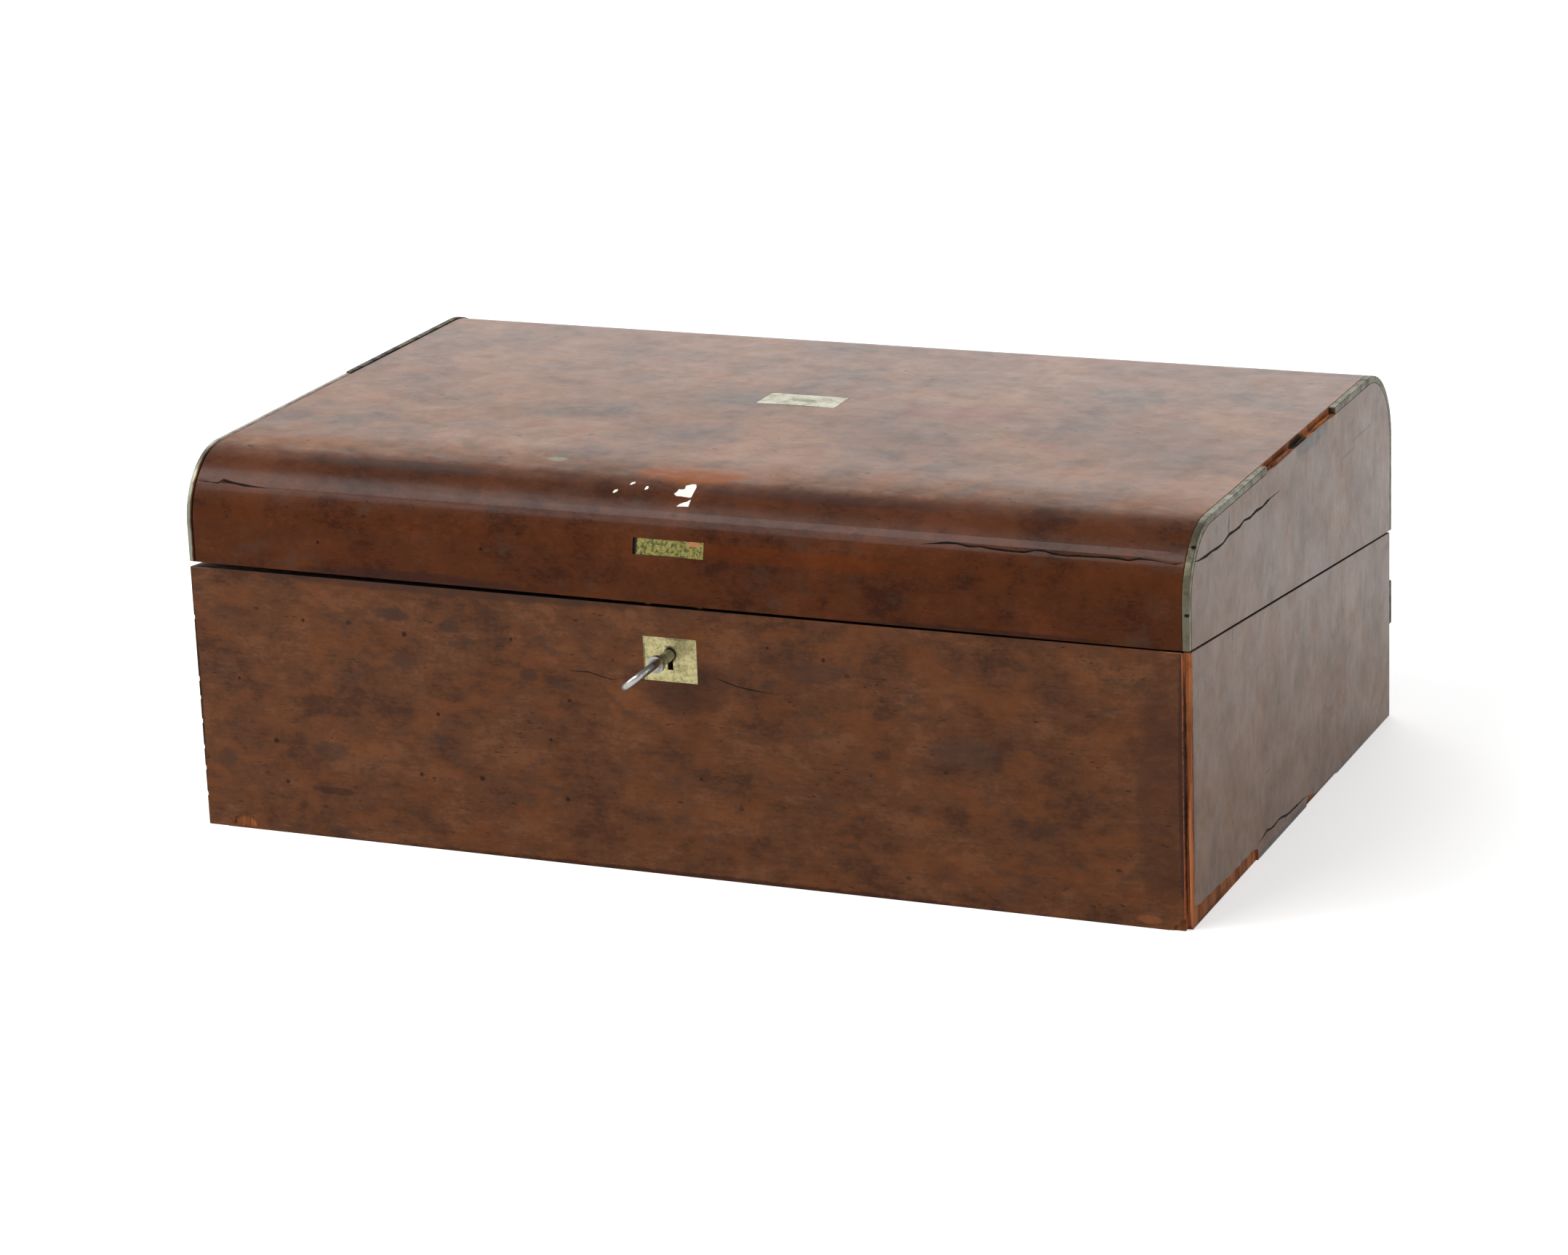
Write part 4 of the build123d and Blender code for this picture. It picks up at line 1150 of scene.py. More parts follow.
        # Dark pin heads on the right edging, with painted shade in their holes
        right_pins = pin_marks(((-107.7, 154.9), (-127.0, 147.5), (-135.6, 124.0), (75.0, 155.0)))
        worn_over = (
            Mark((-207.4, -60, 100), (1.9, 900, 900), "#4A2E1E", 1.0, 5.0),
            Mark((-207.2, -136, 60), (1.2, 60, 900), "#120B08", 0.9, 5.0),
        )
        self.edging = Brass(
            name="edging_brass",
            metal="#5F5C4C",
            film="#38362A",
            film_amount=0.55,
            roughness=0.42,
            seed=3.0,
            marks=right_pins,
            brushed=Grain.ALONG_Y,
        ).build()
        self.left_edging = Brass(
            name="left_edging_brass",
            metal="#7E7F71",
            film="#5C5E4E",
            film_amount=0.4,
            roughness=0.4,
            seed=5.0,
            marks=worn_over,
            brushed=Grain.ALONG_Y,
        ).build()
        self.dark_edging = Brass(
            "dark_edging_brass", "#4E4636", "#1E1812", film_amount=0.9, roughness=0.55, seed=7.0
        ).build()
        self.plate = Brass(
            name="keyhole_plate_brass",
            metal="#B4AB7E",
            film="#887F54",
            film_amount=0.6,
            roughness=0.4,
            seed=11.0,
            corrosion="#2E2A1A",
            corrosion_amount=0.35,
            marks=(
                Mark((0, -136, 91), (4.6, 4, 6.0), "#1E1A12", 0.95, 1.6),
                Mark((-7.5, -136, 84), (4, 4, 3), "#CFC79A", 0.5, 2.0),
                Mark((3, -136, 97.2), (9, 4, 1.4), "#5A5436", 0.6, 1.4),
                Mark((-11, -136, 89), (0.9, 4, 12), "#4A4530", 0.7, 1.4),
            ),
        ).build()
        self.nameplate = Brass(
            name="nameplate_brass",
            metal="#9E9C8A",
            film="#6E705B",
            film_amount=0.5,
            roughness=0.44,
            seed=13.0,
            marks=(
                Mark((-2.5, 1.2, 155), (24, 1.1, 4), "#24241A", 0.9, 2.0),
                Mark((-2.5, 10, 155), (11, 4.5, 4), "#5C5E4A", 0.7, 1.6),
            ),
        ).build()
        self.inlay = Brass(
            name="inlay_brass",
            metal="#8E8444",
            film="#545628",
            film_amount=0.6,
            roughness=0.5,
            seed=17.0,
            corrosion="#1E2E14",
            corrosion_amount=0.85,
            metallic=0.55,
            marks=(
                Mark((11.5, -135, 135.4), (6, 5, 1.4), "#A8644A", 0.85, 1.6),
                Mark((0, -135, 129.5), (24, 5, 1.5), "#141C0C", 0.95, 1.6),
                # Painted shade at the left end of the inlay's recess
                Mark((-12.6, -135, 133), (1.0, 5, 6), "#141C0C", 0.9, 1.6),
            ),
        ).build()
        self.brass = Brass(
            "hinge_brass", "#C2A766", "#6F5A34", film_amount=0.5, roughness=0.36, seed=19.0
        ).build()
        self.key_steel = Steel("key_steel", "#A9A8A4", "#4A4038", tarnish_amount=0.45, roughness=0.3).build()
        self.steel = Steel("lock_steel", "#7D7B76", "#3A2C22", tarnish_amount=0.6, roughness=0.42).build()


def activate(piece: Mesh) -> None:
    """Deselect everything and make one object the active one.

    Args:
        piece: the object.
    """
    bpy.ops.object.select_all(action="DESELECT")
    piece.select_set(True)
    bpy.context.view_layer.objects.active = piece


def apply_modifier(piece: Mesh, kind: str, **settings: Setting) -> None:
    """Add a modifier, set it up and apply it.

    Args:
        piece: the object.
        kind: the modifier's type.
        settings: its properties.
    """
    modifier = piece.modifiers.new(kind.lower(), kind)
    for key, value in settings.items():
        setattr(modifier, key, value)
    activate(piece)
    bpy.ops.object.modifier_apply(modifier=modifier.name)


def smooth(piece: Mesh, angle: float = SMOOTH_ANGLE) -> None:
    """Shade a piece smooth, apart from sharp edges, with each wide flat face kept flat.

    Args:
        piece: the object.
        angle: how sharp an edge has to be, in degrees, to stay sharp.
    """
    activate(piece)
    bpy.ops.object.shade_smooth_by_angle(angle=math.radians(angle))
    apply_modifier(piece, "WEIGHTED_NORMAL", mode="FACE_AREA", weight=100, keep_sharp=True)


def in_joint(start: Vector, end: Vector) -> bool:
    """Tell whether an edge lies in the plane of a glued joint, which the veneer runs across.

    Args:
        start: one end, in metres.
        end: the other end.

    Returns:
        Whether both ends lie in one joint's plane.
    """
    for axis, place in JOINT_PLANES:
        first, second = start[axis] / MM, end[axis] / MM
        if axis == 0:
            first, second = abs(first), abs(second)
        if abs(first - place) < JOINT_REACH and abs(second - place) < JOINT_REACH:
            return True
    return False


def no_joint(start: Vector, end: Vector) -> bool:
    """Tell that an edge lies in no joint, as on every piece that isn't a board."""
    return False


def eased_copy(source: Mesh, ease: float, skip: Callable[[Vector, Vector], bool] = no_joint) -> Mesh:
    """Copy a CAD node into a piece of its own and round its sharp edges.

    Args:
        source: the CAD node's object, which is left as it is.
        ease: how far an edge is rounded, in millimetres.
        skip: a test that names the edges to leave sharp.

    Returns:
        The new piece.
    """
    piece = bpy.data.objects.new(f"dressed_{source.name}", source.data.copy())
    bpy.context.scene.collection.objects.link(piece)
    piece.data.materials.clear()
    activate(piece)
    bpy.ops.object.mode_set(mode="EDIT")
    bpy.ops.mesh.select_all(action="SELECT")
    bpy.ops.mesh.remove_doubles(threshold=WELD * MM)
    bpy.ops.mesh.dissolve_limited(angle_limit=math.radians(FLAT_ANGLE))
    bpy.ops.mesh.normals_make_consistent(inside=False)
    bpy.ops.object.mode_set(mode="OBJECT")
    shape = bmesh.new()
    shape.from_mesh(piece.data)
    weights = shape.edges.layers.float.new("bevel_weight_edge")
    for edge in shape.edges:
        sharp = edge.is_manifold and edge.calc_face_angle() > math.radians(SHARP_ANGLE)
        edge[weights] = 1.0 if sharp and not skip(edge.verts[0].co, edge.verts[1].co) else 0.0
    shape.to_mesh(piece.data)
    shape.free()
    apply_modifier(piece, "BEVEL", width=ease * MM, segments=2, limit_method="WEIGHT", use_clamp_overlap=True)
    return piece


def mesh_piece(name: str, points: list, faces: list) -> Mesh:
    """Make an object from points and faces.

    Args:
        name: the object's name.
        points: its points, in millimetres.
        faces: the indices of each face's points.

    Returns:
        The object.
    """
    mesh = bpy.data.meshes.new(name)
    mesh.from_pydata([Vector(point) * MM for point in points], [], faces)
    mesh.update()
    piece = bpy.data.objects.new(name, mesh)
    bpy.context.scene.collection.objects.link(piece)
    activate(piece)
    bpy.ops.object.mode_set(mode="EDIT")
    bpy.ops.mesh.select_all(action="SELECT")
    bpy.ops.mesh.normals_make_consistent(inside=False)
    bpy.ops.object.mode_set(mode="OBJECT")
    return piece


def plate_piece(name: str, outer: list, inner: list) -> Mesh:
    """Make a closed plate between two outlines.

    Args:
        name: the object's name.
        outer: the points of the outer outline.
        inner: the points of the inner outline, in the same order.

    Returns:
        The object.
    """
    count = len(outer)
    faces = [tuple(range(count)), tuple(range(2 * count - 1, count - 1, -1))]
    faces += [(i, (i + 1) % count, count + (i + 1) % count, count + i) for i in range(count)]
    return mesh_piece(name, outer + inner, faces)


def on_surface(surface: Surface, first: float, height: float) -> tuple[Vector, Vector]:
    """Place a point on an outer face.

    Args:
        surface: the face.
        first: x on the front, y on the right side, in millimetres.
        height: z in millimetres.

    Returns:
        The point and the face's outward normal there.
    """
    if surface is Surface.RIGHT:
        return Vector((HALF_WIDTH, first, height)), Vector((1, 0, 0))
    rise = height - (HEIGHT - FRONT_RADIUS)
    if rise <= 0:
        return Vector((first, -HALF_DEPTH, height)), Vector((0, -1, 0))
    run = math.sqrt(max(FRONT_RADIUS**2 - rise**2, 0.0))
    normal = Vector((0, -run, rise)) / FRONT_RADIUS
    return Vector((first, -HALF_DEPTH + FRONT_RADIUS - run, height)), normal


@dataclass(frozen=True)
class Crack:
    """An open shake in the veneer, drawn as a line of points on an outer face."""

    node: str
    surface: Surface
    points: Outline
    width: float = 0.5
    depth: float = 1.4
    proud: float = 0.4

    def cutter(self) -> Mesh:
        """Build the wedge that opens the crack.

        Returns:
            The cutter.
        """
        placed = [on_surface(self.surface, *point) for point in self.points]
        count = len(placed)
        points, faces = [], []
        for index, (place, normal) in enumerate(placed):
            before = placed[max(index - 1, 0)][0]
            after = placed[min(index + 1, count - 1)][0]
            across = normal.cross((after - before).normalized())
            taper = min(1.0, 0.2 + 0.45 * min(index, count - 1 - index))
            half = self.width * taper * (0.75 + 0.5 * ((index * 7) % 5) / 5)
            points += [
                place + normal * self.proud + across * half,
                place + normal * self.proud - across * half,
                place - normal * self.depth * taper,
            ]
        for index in range(count - 1):
            low, high = 3 * index, 3 * index + 3
            for step in range(3):
                other = (step + 1) % 3
                faces.append((low + step, low + other, high + other, high + step))
        faces += [(0, 1, 2), (3 * count - 3, 3 * count - 2, 3 * count - 1)]
        return mesh_piece("cutter", points, faces)


@dataclass(frozen=True)
class Loss:
    """A patch where the veneer has broken away, as an outline on an outer face."""

    node: str
    surface: Surface
    outline: Outline
    depth: float = 0.9
    proud: float = 0.6

    def cutter(self) -> Mesh:
        """Build the block that takes the patch away.

        Returns:
            The cutter.
        """
        placed = [on_surface(self.surface, *point) for point in self.outline]
        outer = [place + normal * self.proud for place, normal in placed]
        inner = [place - normal * self.depth for place, normal in placed]
        return plate_piece("cutter", outer, inner)


def carve(piece: Mesh, cutter: Mesh, finish: Finish) -> None:
    """Cut a cutter out of a piece and delete it.

    Args:
        piece: the piece.
        cutter: the cutter.
        finish: what the cut shows.
    """
    cutter.data.materials.append(finish)
    apply_modifier(
        piece, "BOOLEAN", operation="DIFFERENCE", object=cutter, solver="EXACT", material_mode="TRANSFER"
    )
    bpy.data.objects.remove(cutter)


CRACKS = (
    Crack(
        "lid_front",
        Surface.FRONT,
        (
            (103, 141.8), (109, 142.5), (114, 143.1), (118, 143.1), (122.4, 142.5), (127.4, 142.7),
            (131.6, 142.3), (136, 142.2), (140.7, 142.0), (144.8, 142.1), (148.8, 142.9), (152.1, 143.0),
            (156.3, 142.3), (161.3, 142.0), (166, 142.3), (172, 142.3), (176.7, 142.5), (181.5, 142.5),
            (185.7, 142.1), (189.5, 142.9), (194.4, 142.7), (201.2, 142.1),
        ),
        width=0.55,
        depth=2.0,
    ),
    Crack("lid_side_right", Surface.FRONT, ((200.8, 142.1), (203.5, 142.0), (206.5, 142.6)), width=0.6),
    Crack("lid_side_left", Surface.FRONT, ((-206.3, 143.7), (-202.4, 143.7), (-200.6, 143.6)), width=0.6),
    Crack(
        "lid_front",
        Surface.FRONT,
        (
            (-201.3, 143.7), (-197.6, 143.5), (-195.2, 144.7), (-190.2, 144.0), (-185.3, 143.5),
            (-179.5, 143.2), (-174.8, 143.0),
        ),
        width=0.62,
        depth=2.2,
    ),
    Crack(
        "lid_side_right",
        Surface.RIGHT,
        (
            (-130, 142.9), (-124, 141.7), (-115, 140.9), (-108, 140.8), (-102, 140.2), (-94.6, 140.0),
            (-90, 140.8), (-86.9, 141.4), (-80, 140.9), (-73.9, 140.7), (-68.7, 141.7), (-60.8, 140.7),
            (-52.8, 141.2), (-44.8, 140.6), (-39.4, 141.1), (-34, 141.3), (-21.7, 141.0),
        ),
        width=0.68,
        depth=2.2,
    ),
    Crack(
        "lid_side_right",
        Surface.RIGHT,
        ((-86.0, 149.6), (-86.8, 146), (-87.6, 144.2), (-88.3, 141.4)),
        width=0.6,
        depth=1.2,
    ),
    Crack(
        "base_front",
        Surface.FRONT,
        ((-45.7, 80.7), (-41.2, 80.4), (-35, 80.5), (-29.7, 79.2), (-25.2, 78.4), (-18.9, 79.7)),
        width=0.38,
        depth=0.8,
    ),
    Crack(
        "base_front",
        Surface.FRONT,
        ((17.8, 82.9), (20, 82.5), (23.5, 81.5), (27.8, 80.2), (34.7, 79.3), (40, 78.9), (46, 78.4)),
        width=0.4,
        depth=0.8,
    ),
    Crack("base_front", Surface.FRONT, ((11.6, 79.4), (15.5, 79.0), (22.4, 77.9)), width=0.28, depth=0.6),
    Crack(
        "base_side_right",
        Surface.RIGHT,
        (
            (-53.5, 6.6), (-48.8, 7.2), (-41.9, 8.3), (-37, 7.4), (-33.1, 7.1), (-27, 7.6), (-22.5, 7.2),
            (-17, 6.0), (-12.4, 5.6), (-3.4, 5.2), (5.7, 5.0), (14.8, 4.2),
        ),
        width=0.6,
        depth=2.0,
    ),
)

# Nicks down the left front corner: the height of each and how far it reaches in, in millimetres
LEFT_NICKS = ((88.0, 0.8), (62.0, 1.1), (54.0, 0.6), (44.0, 0.9), (33.0, 0.7), (24.0, 1.0), (13.0, 0.8))

LOSSES = (
    Loss(
        "base_side_right",
        Surface.RIGHT,
        (
            (-136.5, -1), (-136.5, 10.4), (-131, 8.9), (-125.6, 8.1), (-119, 8.3), (-112.2, 7.6), (-106, 7.9),
            (-101.2, 7.2), (-95, 6.9), (-90.2, 6.1), (-84, 6.8), (-79.1, 6.3), (-73, 6.7), (-67.8, 6.2),
            (-62, 6.5), (-56.4, 5.5), (-54, 4.6), (-53.4, 1.4), (-53.8, -1),
        ),
    ),
    Loss(
        "base_side_right",
        Surface.RIGHT,
        ((12, -1), (11, 1.6), (14, 3.9), (18, 3.1), (22, 1.9), (30, 1.2), (41, 1.5), (52, 0.9), (60, -1)),
        depth=0.8,
    ),
    Loss(
        "base_front",
        Surface.FRONT,
        ((-198.4, 1.4), (-197.6, 4.4), (-194.3, 6.0), (-191, 5.7), (-188.5, 3.2), (-187.6, 1.2), (-192, 0.6)),
        depth=0.7,
    ),
    Loss(
        "base_side_right",
        Surface.FRONT,
        ((207.8, -1), (207.8, 5.2), (205.5, 4.4), (204.8, 2.6), (203.0, 1.9), (202.4, -1)),
        depth=0.7,
    ),
    *(
        Loss(
            "base_side_left",
            Surface.FRONT,
            ((-210.6, z - 1.4), (-210 + reach * 0.7, z - 0.5), (-210 + reach, z + 0.6), (-210.6, z + 1.9)),
            depth=0.8,
        )
        for z, reach in LEFT_NICKS
    ),
)


@dataclass
class Boards:
    """The case's outer boards with eased edges, cracks and lost veneer."""

    palette: Palette
    nodes: dict
    ease: float = 0.35
    base_names: tuple[str, ...] = ("base_front", "base_back", "base_side_left", "base_side_right")
    lid_names: tuple[str, ...] = ("lid_front", "lid_top", "lid_back", "lid_side_left", "lid_side_right")

    def skin_of_base(self, centre: Vector, normal: Vector) -> Skin:
        """Choose the finish of one face of a base board.

        Args:
            centre: the face's middle in millimetres.
            normal: its outward normal.

        Returns:
            The finish.
        """
        x, y, z = centre
        corner = x > HALF_WIDTH - EDGING - SKIN_REACH and abs(y) > HALF_DEPTH - EDGING - SKIN_REACH
        if corner and z < rim_height(y) - SKIN_REACH:
            return Skin.SPLIT if y < 0 else Skin.BARE
        if z < FOOT_REACH:
            return Skin.UNDERSIDE
        if normal.z > SQUARE and z > rim_height(y) - RIM_REACH:
            return Skin.RIM
        # The eased top front edge of the base: worn paler, and a painted highlight
        if y < -HALF_DEPTH + 1 and 0.2 < normal.z < SQUARE:
            return Skin.RUBBED_AND_HIGHLIT
        if abs(x) > HALF_WIDTH - SKIN_REACH and abs(normal.x) > FACING:
            return Skin.SIDE
        if abs(y) > HALF_DEPTH - EASED_REACH and abs(normal.y) > FACING:
            return Skin.BASE
        return Skin.INNER

    def skin_of_lid(self, centre: Vector, normal: Vector) -> Skin:
        """Choose the finish of one face of a lid board.

        Args:
            centre: the face's middle in millimetres.
            normal: its outward normal.

        Returns:
            The finish.
        """
        x, y, z = centre
        if normal.z < -SQUARE and z < rim_height(y) + LID_RIM_REACH:
            return Skin.RIM
        if abs(x) > HALF_WIDTH - SKIN_REACH and abs(normal.x) > FACING:
            return Skin.SIDE
        rebate = HALF_WIDTH - EDGING
        if abs(x) > rebate - 0.1 or (abs(normal.x) > SQUARE and abs(x) > rebate - 0.2):
            return Skin.BARE
        if self.outside(y, z):
            return Skin.LID
        # The walls of the inlay's recess: dirt, and painted shade of the recess
        return Skin.DIRT_AND_SHADE if abs(x) < INLAY_REACH and y < -HALF_DEPTH + 3 and z > INLAY_FOOT else Skin.INNER

    @staticmethod
    def outside(y: float, z: float) -> bool:
        """Tell whether a place in the lid's side view lies on its outer skin.

        Args:
            y: its depth.
            z: its height.

        Returns:
            Whether it is on the skin.
        """
        if z > HEIGHT - EASED_REACH or abs(y) > HALF_DEPTH - EASED_REACH:
            return True
        curves = ((-HALF_DEPTH + FRONT_RADIUS, FRONT_RADIUS, -1), (HALF_DEPTH - BACK_RADIUS, BACK_RADIUS, 1))
        for middle, radius, side in curves:
            level = HEIGHT - radius
            if (y - middle) * side > 0 and z > level:
                return math.hypot(y - middle, z - level) > radius - 0.6
        return False

    def dress(self) -> None:
        """Build every board's piece and let it stand for its node."""
        p = self.palette
        finishes = (p.base, p.lid, p.side, p.bare, p.rim, p.inner, p.underside, p.grime, p.rubbed, p.split)
        bodies = (("base", self.base_names, self.skin_of_base), ("lid", self.lid_names, self.skin_of_lid))
        for body, names, skin in bodies:
            for name in names:
                piece = eased_copy(self.nodes[name], self.ease, in_joint)
                for material in finishes:
                    piece.data.materials.append(material)
                for face in piece.data.polygons:
                    face.material_index = skin(face.center / MM, face.normal)
                for crack in CRACKS:
                    if crack.node == name:
                        # A crack's walls: dirt, and painted shade
                        carve(piece, crack.cutter(), p.grime)
                for loss in LOSSES:
                    if loss.node == name:
                        carve(piece, loss.cutter(), p.bare)
                smooth(piece)
                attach(piece, body)
                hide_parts(name)
                LOG.info("board %s: %d faces", name, len(piece.data.polygons))


@dataclass(frozen=True)
class Sliver:
    """A thin strip of split wood, thick in its middle and thin at both ends."""

    start: Point
    end: Point
    width: float
    thick: float
    outward: Point

    def build(self, name: str, finish: Finish) -> Mesh:
        """Build the strip.

        Args:
            name: the piece's name.
            finish: its material.

        Returns:
            The piece.
        """
        start, end, out = Vector(self.start), Vector(self.end), Vector(self.outward)
        across = (end - start).normalized().cross(out)
        steps = 8
        points, faces = [], [(0, 1, 2, 3), tuple(range(4 * steps, 4 * steps + 4))]
        for step in range(steps + 1):
            part = step / steps
            taper = min(1.0, 5 * part + 0.3, 5 * (1 - part) + 0.3)
            sway = across * 0.12 * math.sin(9 * part + self.width * 7)
            half = self.width * taper * (0.42 + 0.08 * math.sin(14 * part))
            rise = self.thick * taper * (0.9 + 0.1 * math.cos(17 * part))
            middle = start.lerp(end, part) + sway
            points += [
                middle - across * half,
                middle + across * half,
                middle + across * half * 0.7 + out * rise,
                middle - across * half * 0.7 + out * rise,
            ]
        for step in range(steps):
            for corner in range(4):
                here, there = 4 * step + corner, 4 * step + (corner + 1) % 4
                faces.append((here, there, there + 4, here + 4))
        piece = mesh_piece(name, points, faces)
        piece.data.materials.append(finish)
        smooth(piece, SLIVER_ANGLE)
        return piece


@dataclass
class Splinters:
    """Slivers of veneer and glue line that still cling where the edging is gone."""

    palette: Palette

    def corner(self) -> tuple[Sliver, ...]:
        """Lay out the slivers on the open right front corner of the base.

        Returns:
            The slivers.
        """
        seat = -HALF_DEPTH + EDGING
        out = (0.0, -1.0, 0.0)
        return (
            Sliver((209.0, seat, 0.4), (208.9, seat, 58.0), 1.5, 1.5, out),
            Sliver((207.9, seat, 3.0), (207.8, seat, 30.0), 0.7, 0.9, out),
            Sliver((209.5, seat, 60.0), (209.4, seat, 84.0), 0.5, 0.6, out),
            Sliver((207.7, seat, 66.0), (207.9, seat, 103.0), 0.6, 0.5, out),
        )

    def open_edge(self) -> tuple[Sliver, ...]:
        """Lay out the slivers on the lid's edge, where a length of edging is gone.

        Returns:
            The slivers.
        """
        seat = HEIGHT - EDGING
        out = (0.0, 0.0, 1.0)
        return (
            Sliver((208.2, -37.0, seat), (208.4, -10.0, seat), 0.9, 0.9, out),
            Sliver((209.2, -30.0, seat), (209.1, -4.0, seat), 0.7, 1.3, out),
            Sliver((208.8, 2.0, seat), (208.5, 18.0, seat), 1.0, 0.7, out),
            Sliver((208.6, 24.0, seat), (208.9, 51.0, seat), 1.1, 1.0, out),
        )

    def build(self) -> None:
        """Build every sliver on the body that it clings to."""
        groups = (
            ("corner_sliver", self.corner(), "base", self.palette.split),
            ("edge_sliver", self.open_edge(), "lid", self.palette.bare),
        )
        for name, slivers, body, finish in groups:
            for index, sliver in enumerate(slivers, 1):
                piece = sliver.build(f"{name}_{index}", finish)
                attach(piece, body)
                LOG.info("%s_%d rides on %s", name, index, body)


@dataclass
class PaperScraps:
    """Torn scraps of white paper that cling to the lid's front curve."""

    palette: Palette
    thickness: float = 0.14
    sunk: float = 0.05
    outlines: tuple[Outline, ...] = (
        (
            (-1.4, 151.1), (-0.6, 151.7), (-0.3, 152.4), (0.7, 152.3), (2.0, 152.5), (1.7, 153.3),
            (3.9, 153.7), (5.5, 153.7), (6.3, 153.1), (6.3, 152.1), (6.2, 150.5), (5.2, 150.4),
            (1.9, 150.6), (-0.2, 150.6),
        ),
        (
            (1.6, 147.6), (2.2, 148.2), (3.6, 148.8), (5.2, 149.2), (6.4, 149.9), (6.4, 148.9), (6.4, 147.8),
            (3.8, 147.7),
        ),
        ((-21.4, 152.6), (-21.0, 153.1), (-19.6, 153.3), (-19.5, 153.0), (-20.6, 152.6)),
        ((-26.8, 150.2), (-26.5, 150.9), (-25.2, 151.2), (-25.1, 150.7), (-26.2, 150.1)),
        ((-14.4, 151.7), (-14.1, 152.5), (-13.3, 152.5), (-13.0, 152.0), (-13.7, 151.6)),
    )

    def build(self) -> None:
        """Lay each scrap on the curve."""
        for index, outline in enumerate(self.outlines, 1):
            placed = [on_surface(Surface.FRONT, *point) for point in outline]
            outer = [place + normal * self.thickness for place, normal in placed]
            inner = [place - normal * self.sunk for place, normal in placed]
            piece = plate_piece(f"paper_scrap_{index}", outer, inner)
            piece.data.materials.append(self.palette.paper)
            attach(piece, "lid")
            LOG.info("paper scrap %d has %d corners", index, len(outline))


@dataclass
class Furniture:
    """Brass edging, plates, hinges, lock, key and every node that keeps its own shape."""

    palette: Palette
    nodes: dict

    def dress(self) -> None:
        """Give each remaining node its finish, with eased edges where the eye meets them."""
        p = self.palette
        eased = {
            "edging_left_front": ("lid", p.left_edging, 0.4, "aged_brass"),
            "edging_left_rear": ("lid", p.dark_edging, 0.4, "dark_brass"),
            "edging_right_front": ("lid", p.edging, 0.4, "aged_brass"),
            "edging_right_rear": ("lid", p.edging, 0.4, "aged_brass"),
            "corner_edging_remnant": ("base", p.dark_edging, 0.3, "dark_brass"),
            "escutcheon": ("base", p.plate, 0.22, "aged_brass"),
            "nameplate": ("lid", p.nameplate, 0.2, "aged_brass"),
            "front_inlay": ("lid", p.inlay, 0.15, "aged_brass"),
            "lock_selvedge": ("base", p.brass, 0.2, "aged_brass"),
            "link_plate": ("lid", p.brass, 0.2, "aged_brass"),
            "pen_tray": ("base", p.inner, 0.5, "inner_wood"),
            "base_flap": ("base_flap", p.inner, 0.5, "inner_wood"),
            "lid_flap": ("lid_flap", p.inner, 0.5, "inner_wood"),
            "pen_partition": ("base", p.inner, 0.4, "inner_wood"),
            "ink_partition_left": ("base", p.inner, 0.3, "inner_wood"),
            "tray_partition": ("base", p.inner, 0.3, "inner_wood"),
            "ink_partition_right": ("base", p.inner, 0.3, "inner_wood"),
        }
        for name, (body, material, ease, slot) in eased.items():
            piece = eased_copy(self.nodes[name], ease)
            piece.data.materials.append(material)
            smooth(piece)
            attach(piece, body)
            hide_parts(name)
            LOG.info("%s is eased by %.2f mm", name, ease)
        kept = {
            p.inner: ("ink_floor_left", "ink_floor_right", "base_flap_ledges", "lid_flap_ledges"),
            p.underside: ("base_bottom",),
            p.brass: (
                "hinge_base_leaf_left", "hinge_base_leaf_right",
                "hinge_lid_leaf_left", "hinge_lid_leaf_right",
                "base_flap_hinge_fixed_leaves", "base_flap_hinge_moving_leaves",
                "lid_flap_hinge_fixed_leaves", "lid_flap_hinge_moving_leaves",
                "inkwell_collar_left", "inkwell_collar_right", "inkwell_cap_left", "inkwell_cap_right",
            ),
            p.steel: (
                "lock_case", "lock_cap", "lock_bolt", "hinge_pin_left", "hinge_pin_right",
                "base_flap_hinge_pins", "lid_flap_hinge_pins", "hinge_base_screws", "hinge_lid_screws",
                "lock_screws", "link_screws",
            ),
            p.key_steel: ("key",),
            p.base_leather: ("base_flap_leather",),
            p.lid_leather: ("lid_flap_leather",),
            p.glass: ("inkwell_left", "inkwell_right"),
        }
        for material, names in kept.items():
            for name in names:
                node = self.nodes[name]
                node.data.materials.clear()
                node.data.materials.append(material)
                for face in node.data.polygons:
                    face.material_index = 0
        left = set(self.nodes) - set(eased) - {n for names in kept.values() for n in names}
        LOG.info("nodes left to the boards: %s", sorted(left))


@dataclass(frozen=True)
class Lamp:
    """A soft area lamp aimed at the box."""

    name: str
    place: Point
    size: tuple[float, float]
    power: float
    aim: Point = (0.0, 0.0, 0.08)

    def build(self) -> None:
        """Add the lamp."""
        data = bpy.data.lights.new(self.name, "AREA")
        data.shape = "RECTANGLE"
        data.size, data.size_y = self.size
        data.energy = self.power
        lamp = bpy.data.objects.new(self.name, data)
        bpy.context.scene.collection.objects.link(lamp)
        lamp.location = self.place
        lamp.rotation_euler = (Vector(self.aim) - Vector(self.place)).to_track_quat("-Z", "Y").to_euler()


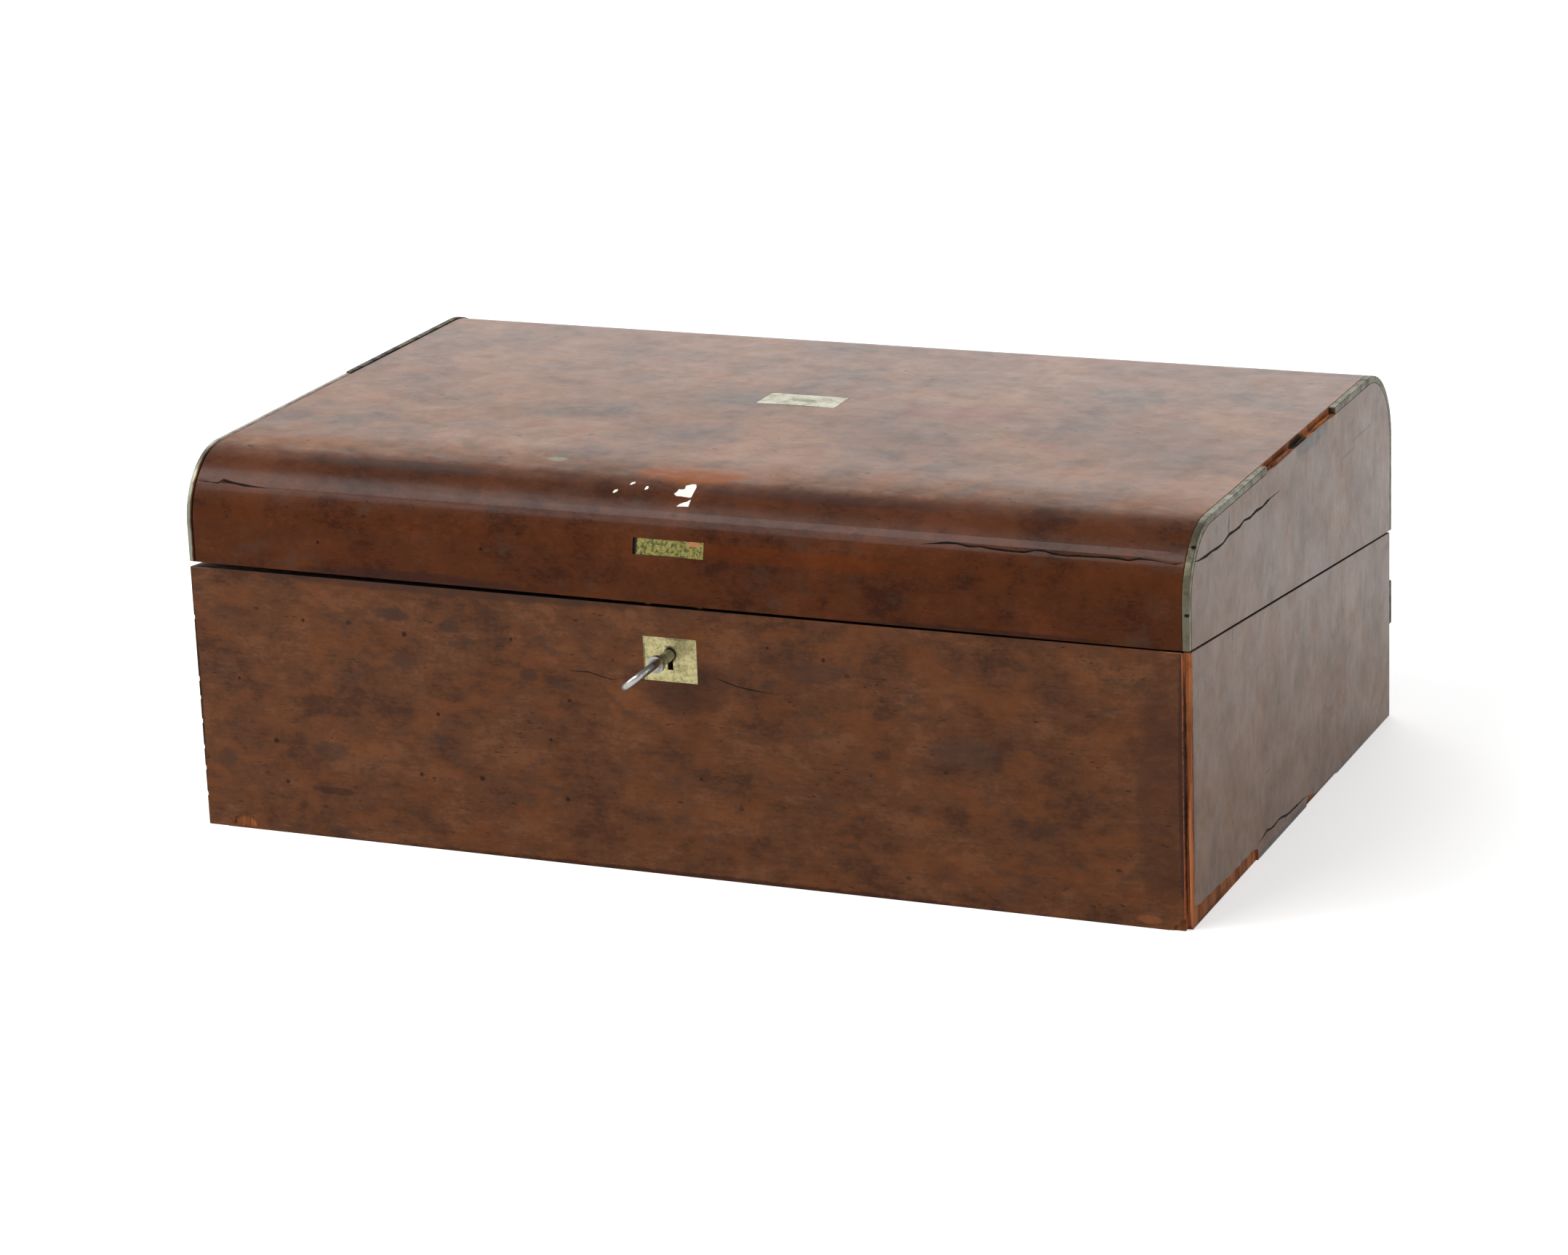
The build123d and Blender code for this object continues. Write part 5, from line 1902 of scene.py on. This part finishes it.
@dataclass
class Studio:
    """A white floor, a white surround and soft lamps."""

    lamps: tuple[Lamp, ...] = (
        Lamp("overhead_softbox", (-0.65, -0.89, 1.55), (1.3, 0.5), 15.0),
        Lamp("left_softbox", (-1.9, -1.2, 1.3), (1.4, 1.4), 24.0),
        Lamp("back_softbox", (-0.8, 1.9, 1.5), (2.2, 1.2), 22.0),
        Lamp("right_softbox", (2.3, -0.3, 1.1), (1.3, 1.3), 8.0),
    )
    surround: float = 0.55
    ceiling: float = 0.35
    paper: float = 0.78
    glow: float = 0.5

    def build(self) -> None:
        """Build the floor, the world and the lamps."""
        self.build_floor()
        self.build_world()
        for lamp in self.lamps:
            lamp.build()
            LOG.info("lamp %s: %.0f W", lamp.name, lamp.power)

    def seen(self, tree: bpy.types.NodeTree) -> Socket:
        """Tell whether a ray shows the background: seen straight, in a mirror or through glass.

        Args:
            tree: the node tree that asks.

        Returns:
            1 for such a ray and 0 for a ray that lights the box.
        """
        light = tree.nodes.new("ShaderNodeLightPath")
        result = light.outputs["Is Camera Ray"]
        for name in ("Is Glossy Ray", "Is Transmission Ray"):
            either = tree.nodes.new("ShaderNodeMath")
            either.operation = "MAXIMUM"
            tree.links.new(result, either.inputs[0])
            tree.links.new(light.outputs[name], either.inputs[1])
            result = either.outputs[0]
        return result

    def build_floor(self) -> None:
        """Lay a wide white floor that keeps the box's shadow."""
        bpy.ops.object.select_all(action="DESELECT")
        bpy.ops.mesh.primitive_plane_add(size=40)
        floor = bpy.context.object
        floor.name = "floor"
        g = Graph("white_floor")
        paper = g.node("ShaderNodeBsdfDiffuse")
        paper.inputs["Color"].default_value = (self.paper, self.paper, self.paper, 1)
        glow = g.node("ShaderNodeEmission")
        g.feed(glow.inputs["Strength"], g.times(self.seen(g.tree), self.glow))
        both = g.node("ShaderNodeAddShader")
        g.tree.links.new(paper.outputs[0], both.inputs[0])
        g.tree.links.new(glow.outputs[0], both.inputs[1])
        output = g.node("ShaderNodeOutputMaterial")
        g.tree.links.new(both.outputs[0], output.inputs["Surface"])
        floor.data.materials.append(g.material)

    def build_world(self) -> None:
        """Surround the box with white, softer for its light than for what it mirrors.

        What mirrors see is white near the horizon, as a paper backdrop is, and darker overhead.
        """
        world = bpy.data.worlds.new("surround")
        bpy.context.scene.world = world
        world.use_nodes = True
        tree = world.node_tree
        tree.nodes.clear()
        place = tree.nodes.new("ShaderNodeTexCoord")
        parts = tree.nodes.new("ShaderNodeSeparateXYZ")
        tree.links.new(place.outputs["Generated"], parts.inputs[0])
        fade = tree.nodes.new("ShaderNodeMapRange")
        fade.interpolation_type = "SMOOTHSTEP"
        tree.links.new(parts.outputs[2], fade.inputs[0])
        limits = (math.sin(math.radians(25)), math.sin(math.radians(48)), 1.0, self.ceiling)
        for socket, value in zip(fade.inputs[1:5], limits):
            socket.default_value = value
        strength = tree.nodes.new("ShaderNodeMapRange")
        tree.links.new(self.seen(tree), strength.inputs[0])
        strength.inputs[3].default_value = self.surround
        tree.links.new(fade.outputs[0], strength.inputs[4])
        background = tree.nodes.new("ShaderNodeBackground")
        tree.links.new(strength.outputs[0], background.inputs["Strength"])
        output = tree.nodes.new("ShaderNodeOutputWorld")
        tree.links.new(background.outputs[0], output.inputs["Surface"])


@dataclass(frozen=True)
class Viewpoint:
    """The photograph's camera, in the row frame."""

    azimuth: float = 23.374
    elevation: float = 17.155
    roll: float = -2.207
    place: Point = (0.7290, -1.7109, 0.6354)
    lens: float = 108.35

    def build(self) -> None:
        """Add the camera and make it the scene's own."""
        az, el, roll = (math.radians(angle) for angle in (self.azimuth, self.elevation, self.roll))
        forward = Vector((-math.sin(az) * math.cos(el), math.cos(az) * math.cos(el), -math.sin(el)))
        right = Vector((math.cos(az), math.sin(az), 0))
        up = right.cross(forward)
        x_axis = right * math.cos(roll) + up * math.sin(roll)
        y_axis = up * math.cos(roll) - right * math.sin(roll)
        data = bpy.data.cameras.new("camera")
        data.lens = self.lens
        data.sensor_width = 36.0
        data.sensor_fit = "HORIZONTAL"
        data.clip_end = 100.0
        camera = bpy.data.objects.new("camera", data)
        bpy.context.scene.collection.objects.link(camera)
        rotation = Matrix((x_axis, y_axis, -forward)).transposed()
        camera.matrix_world = Matrix.Translation(self.place) @ rotation.to_4x4()
        bpy.context.scene.camera = camera


def main() -> None:
    """Dress the box, set the studio and place the camera."""
    logging.basicConfig(level=logging.INFO, format="%(name)s: %(message)s")
    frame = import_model()
    palette = Palette()
    Boards(palette, frame["nodes"]).dress()
    Splinters(palette).build()
    PaperScraps(palette).build()
    Furniture(palette, frame["nodes"]).dress()
    Studio().build()
    Viewpoint().build()
    bpy.context.scene.view_settings.view_transform = "Standard"


if __name__ == "__main__":
    main()
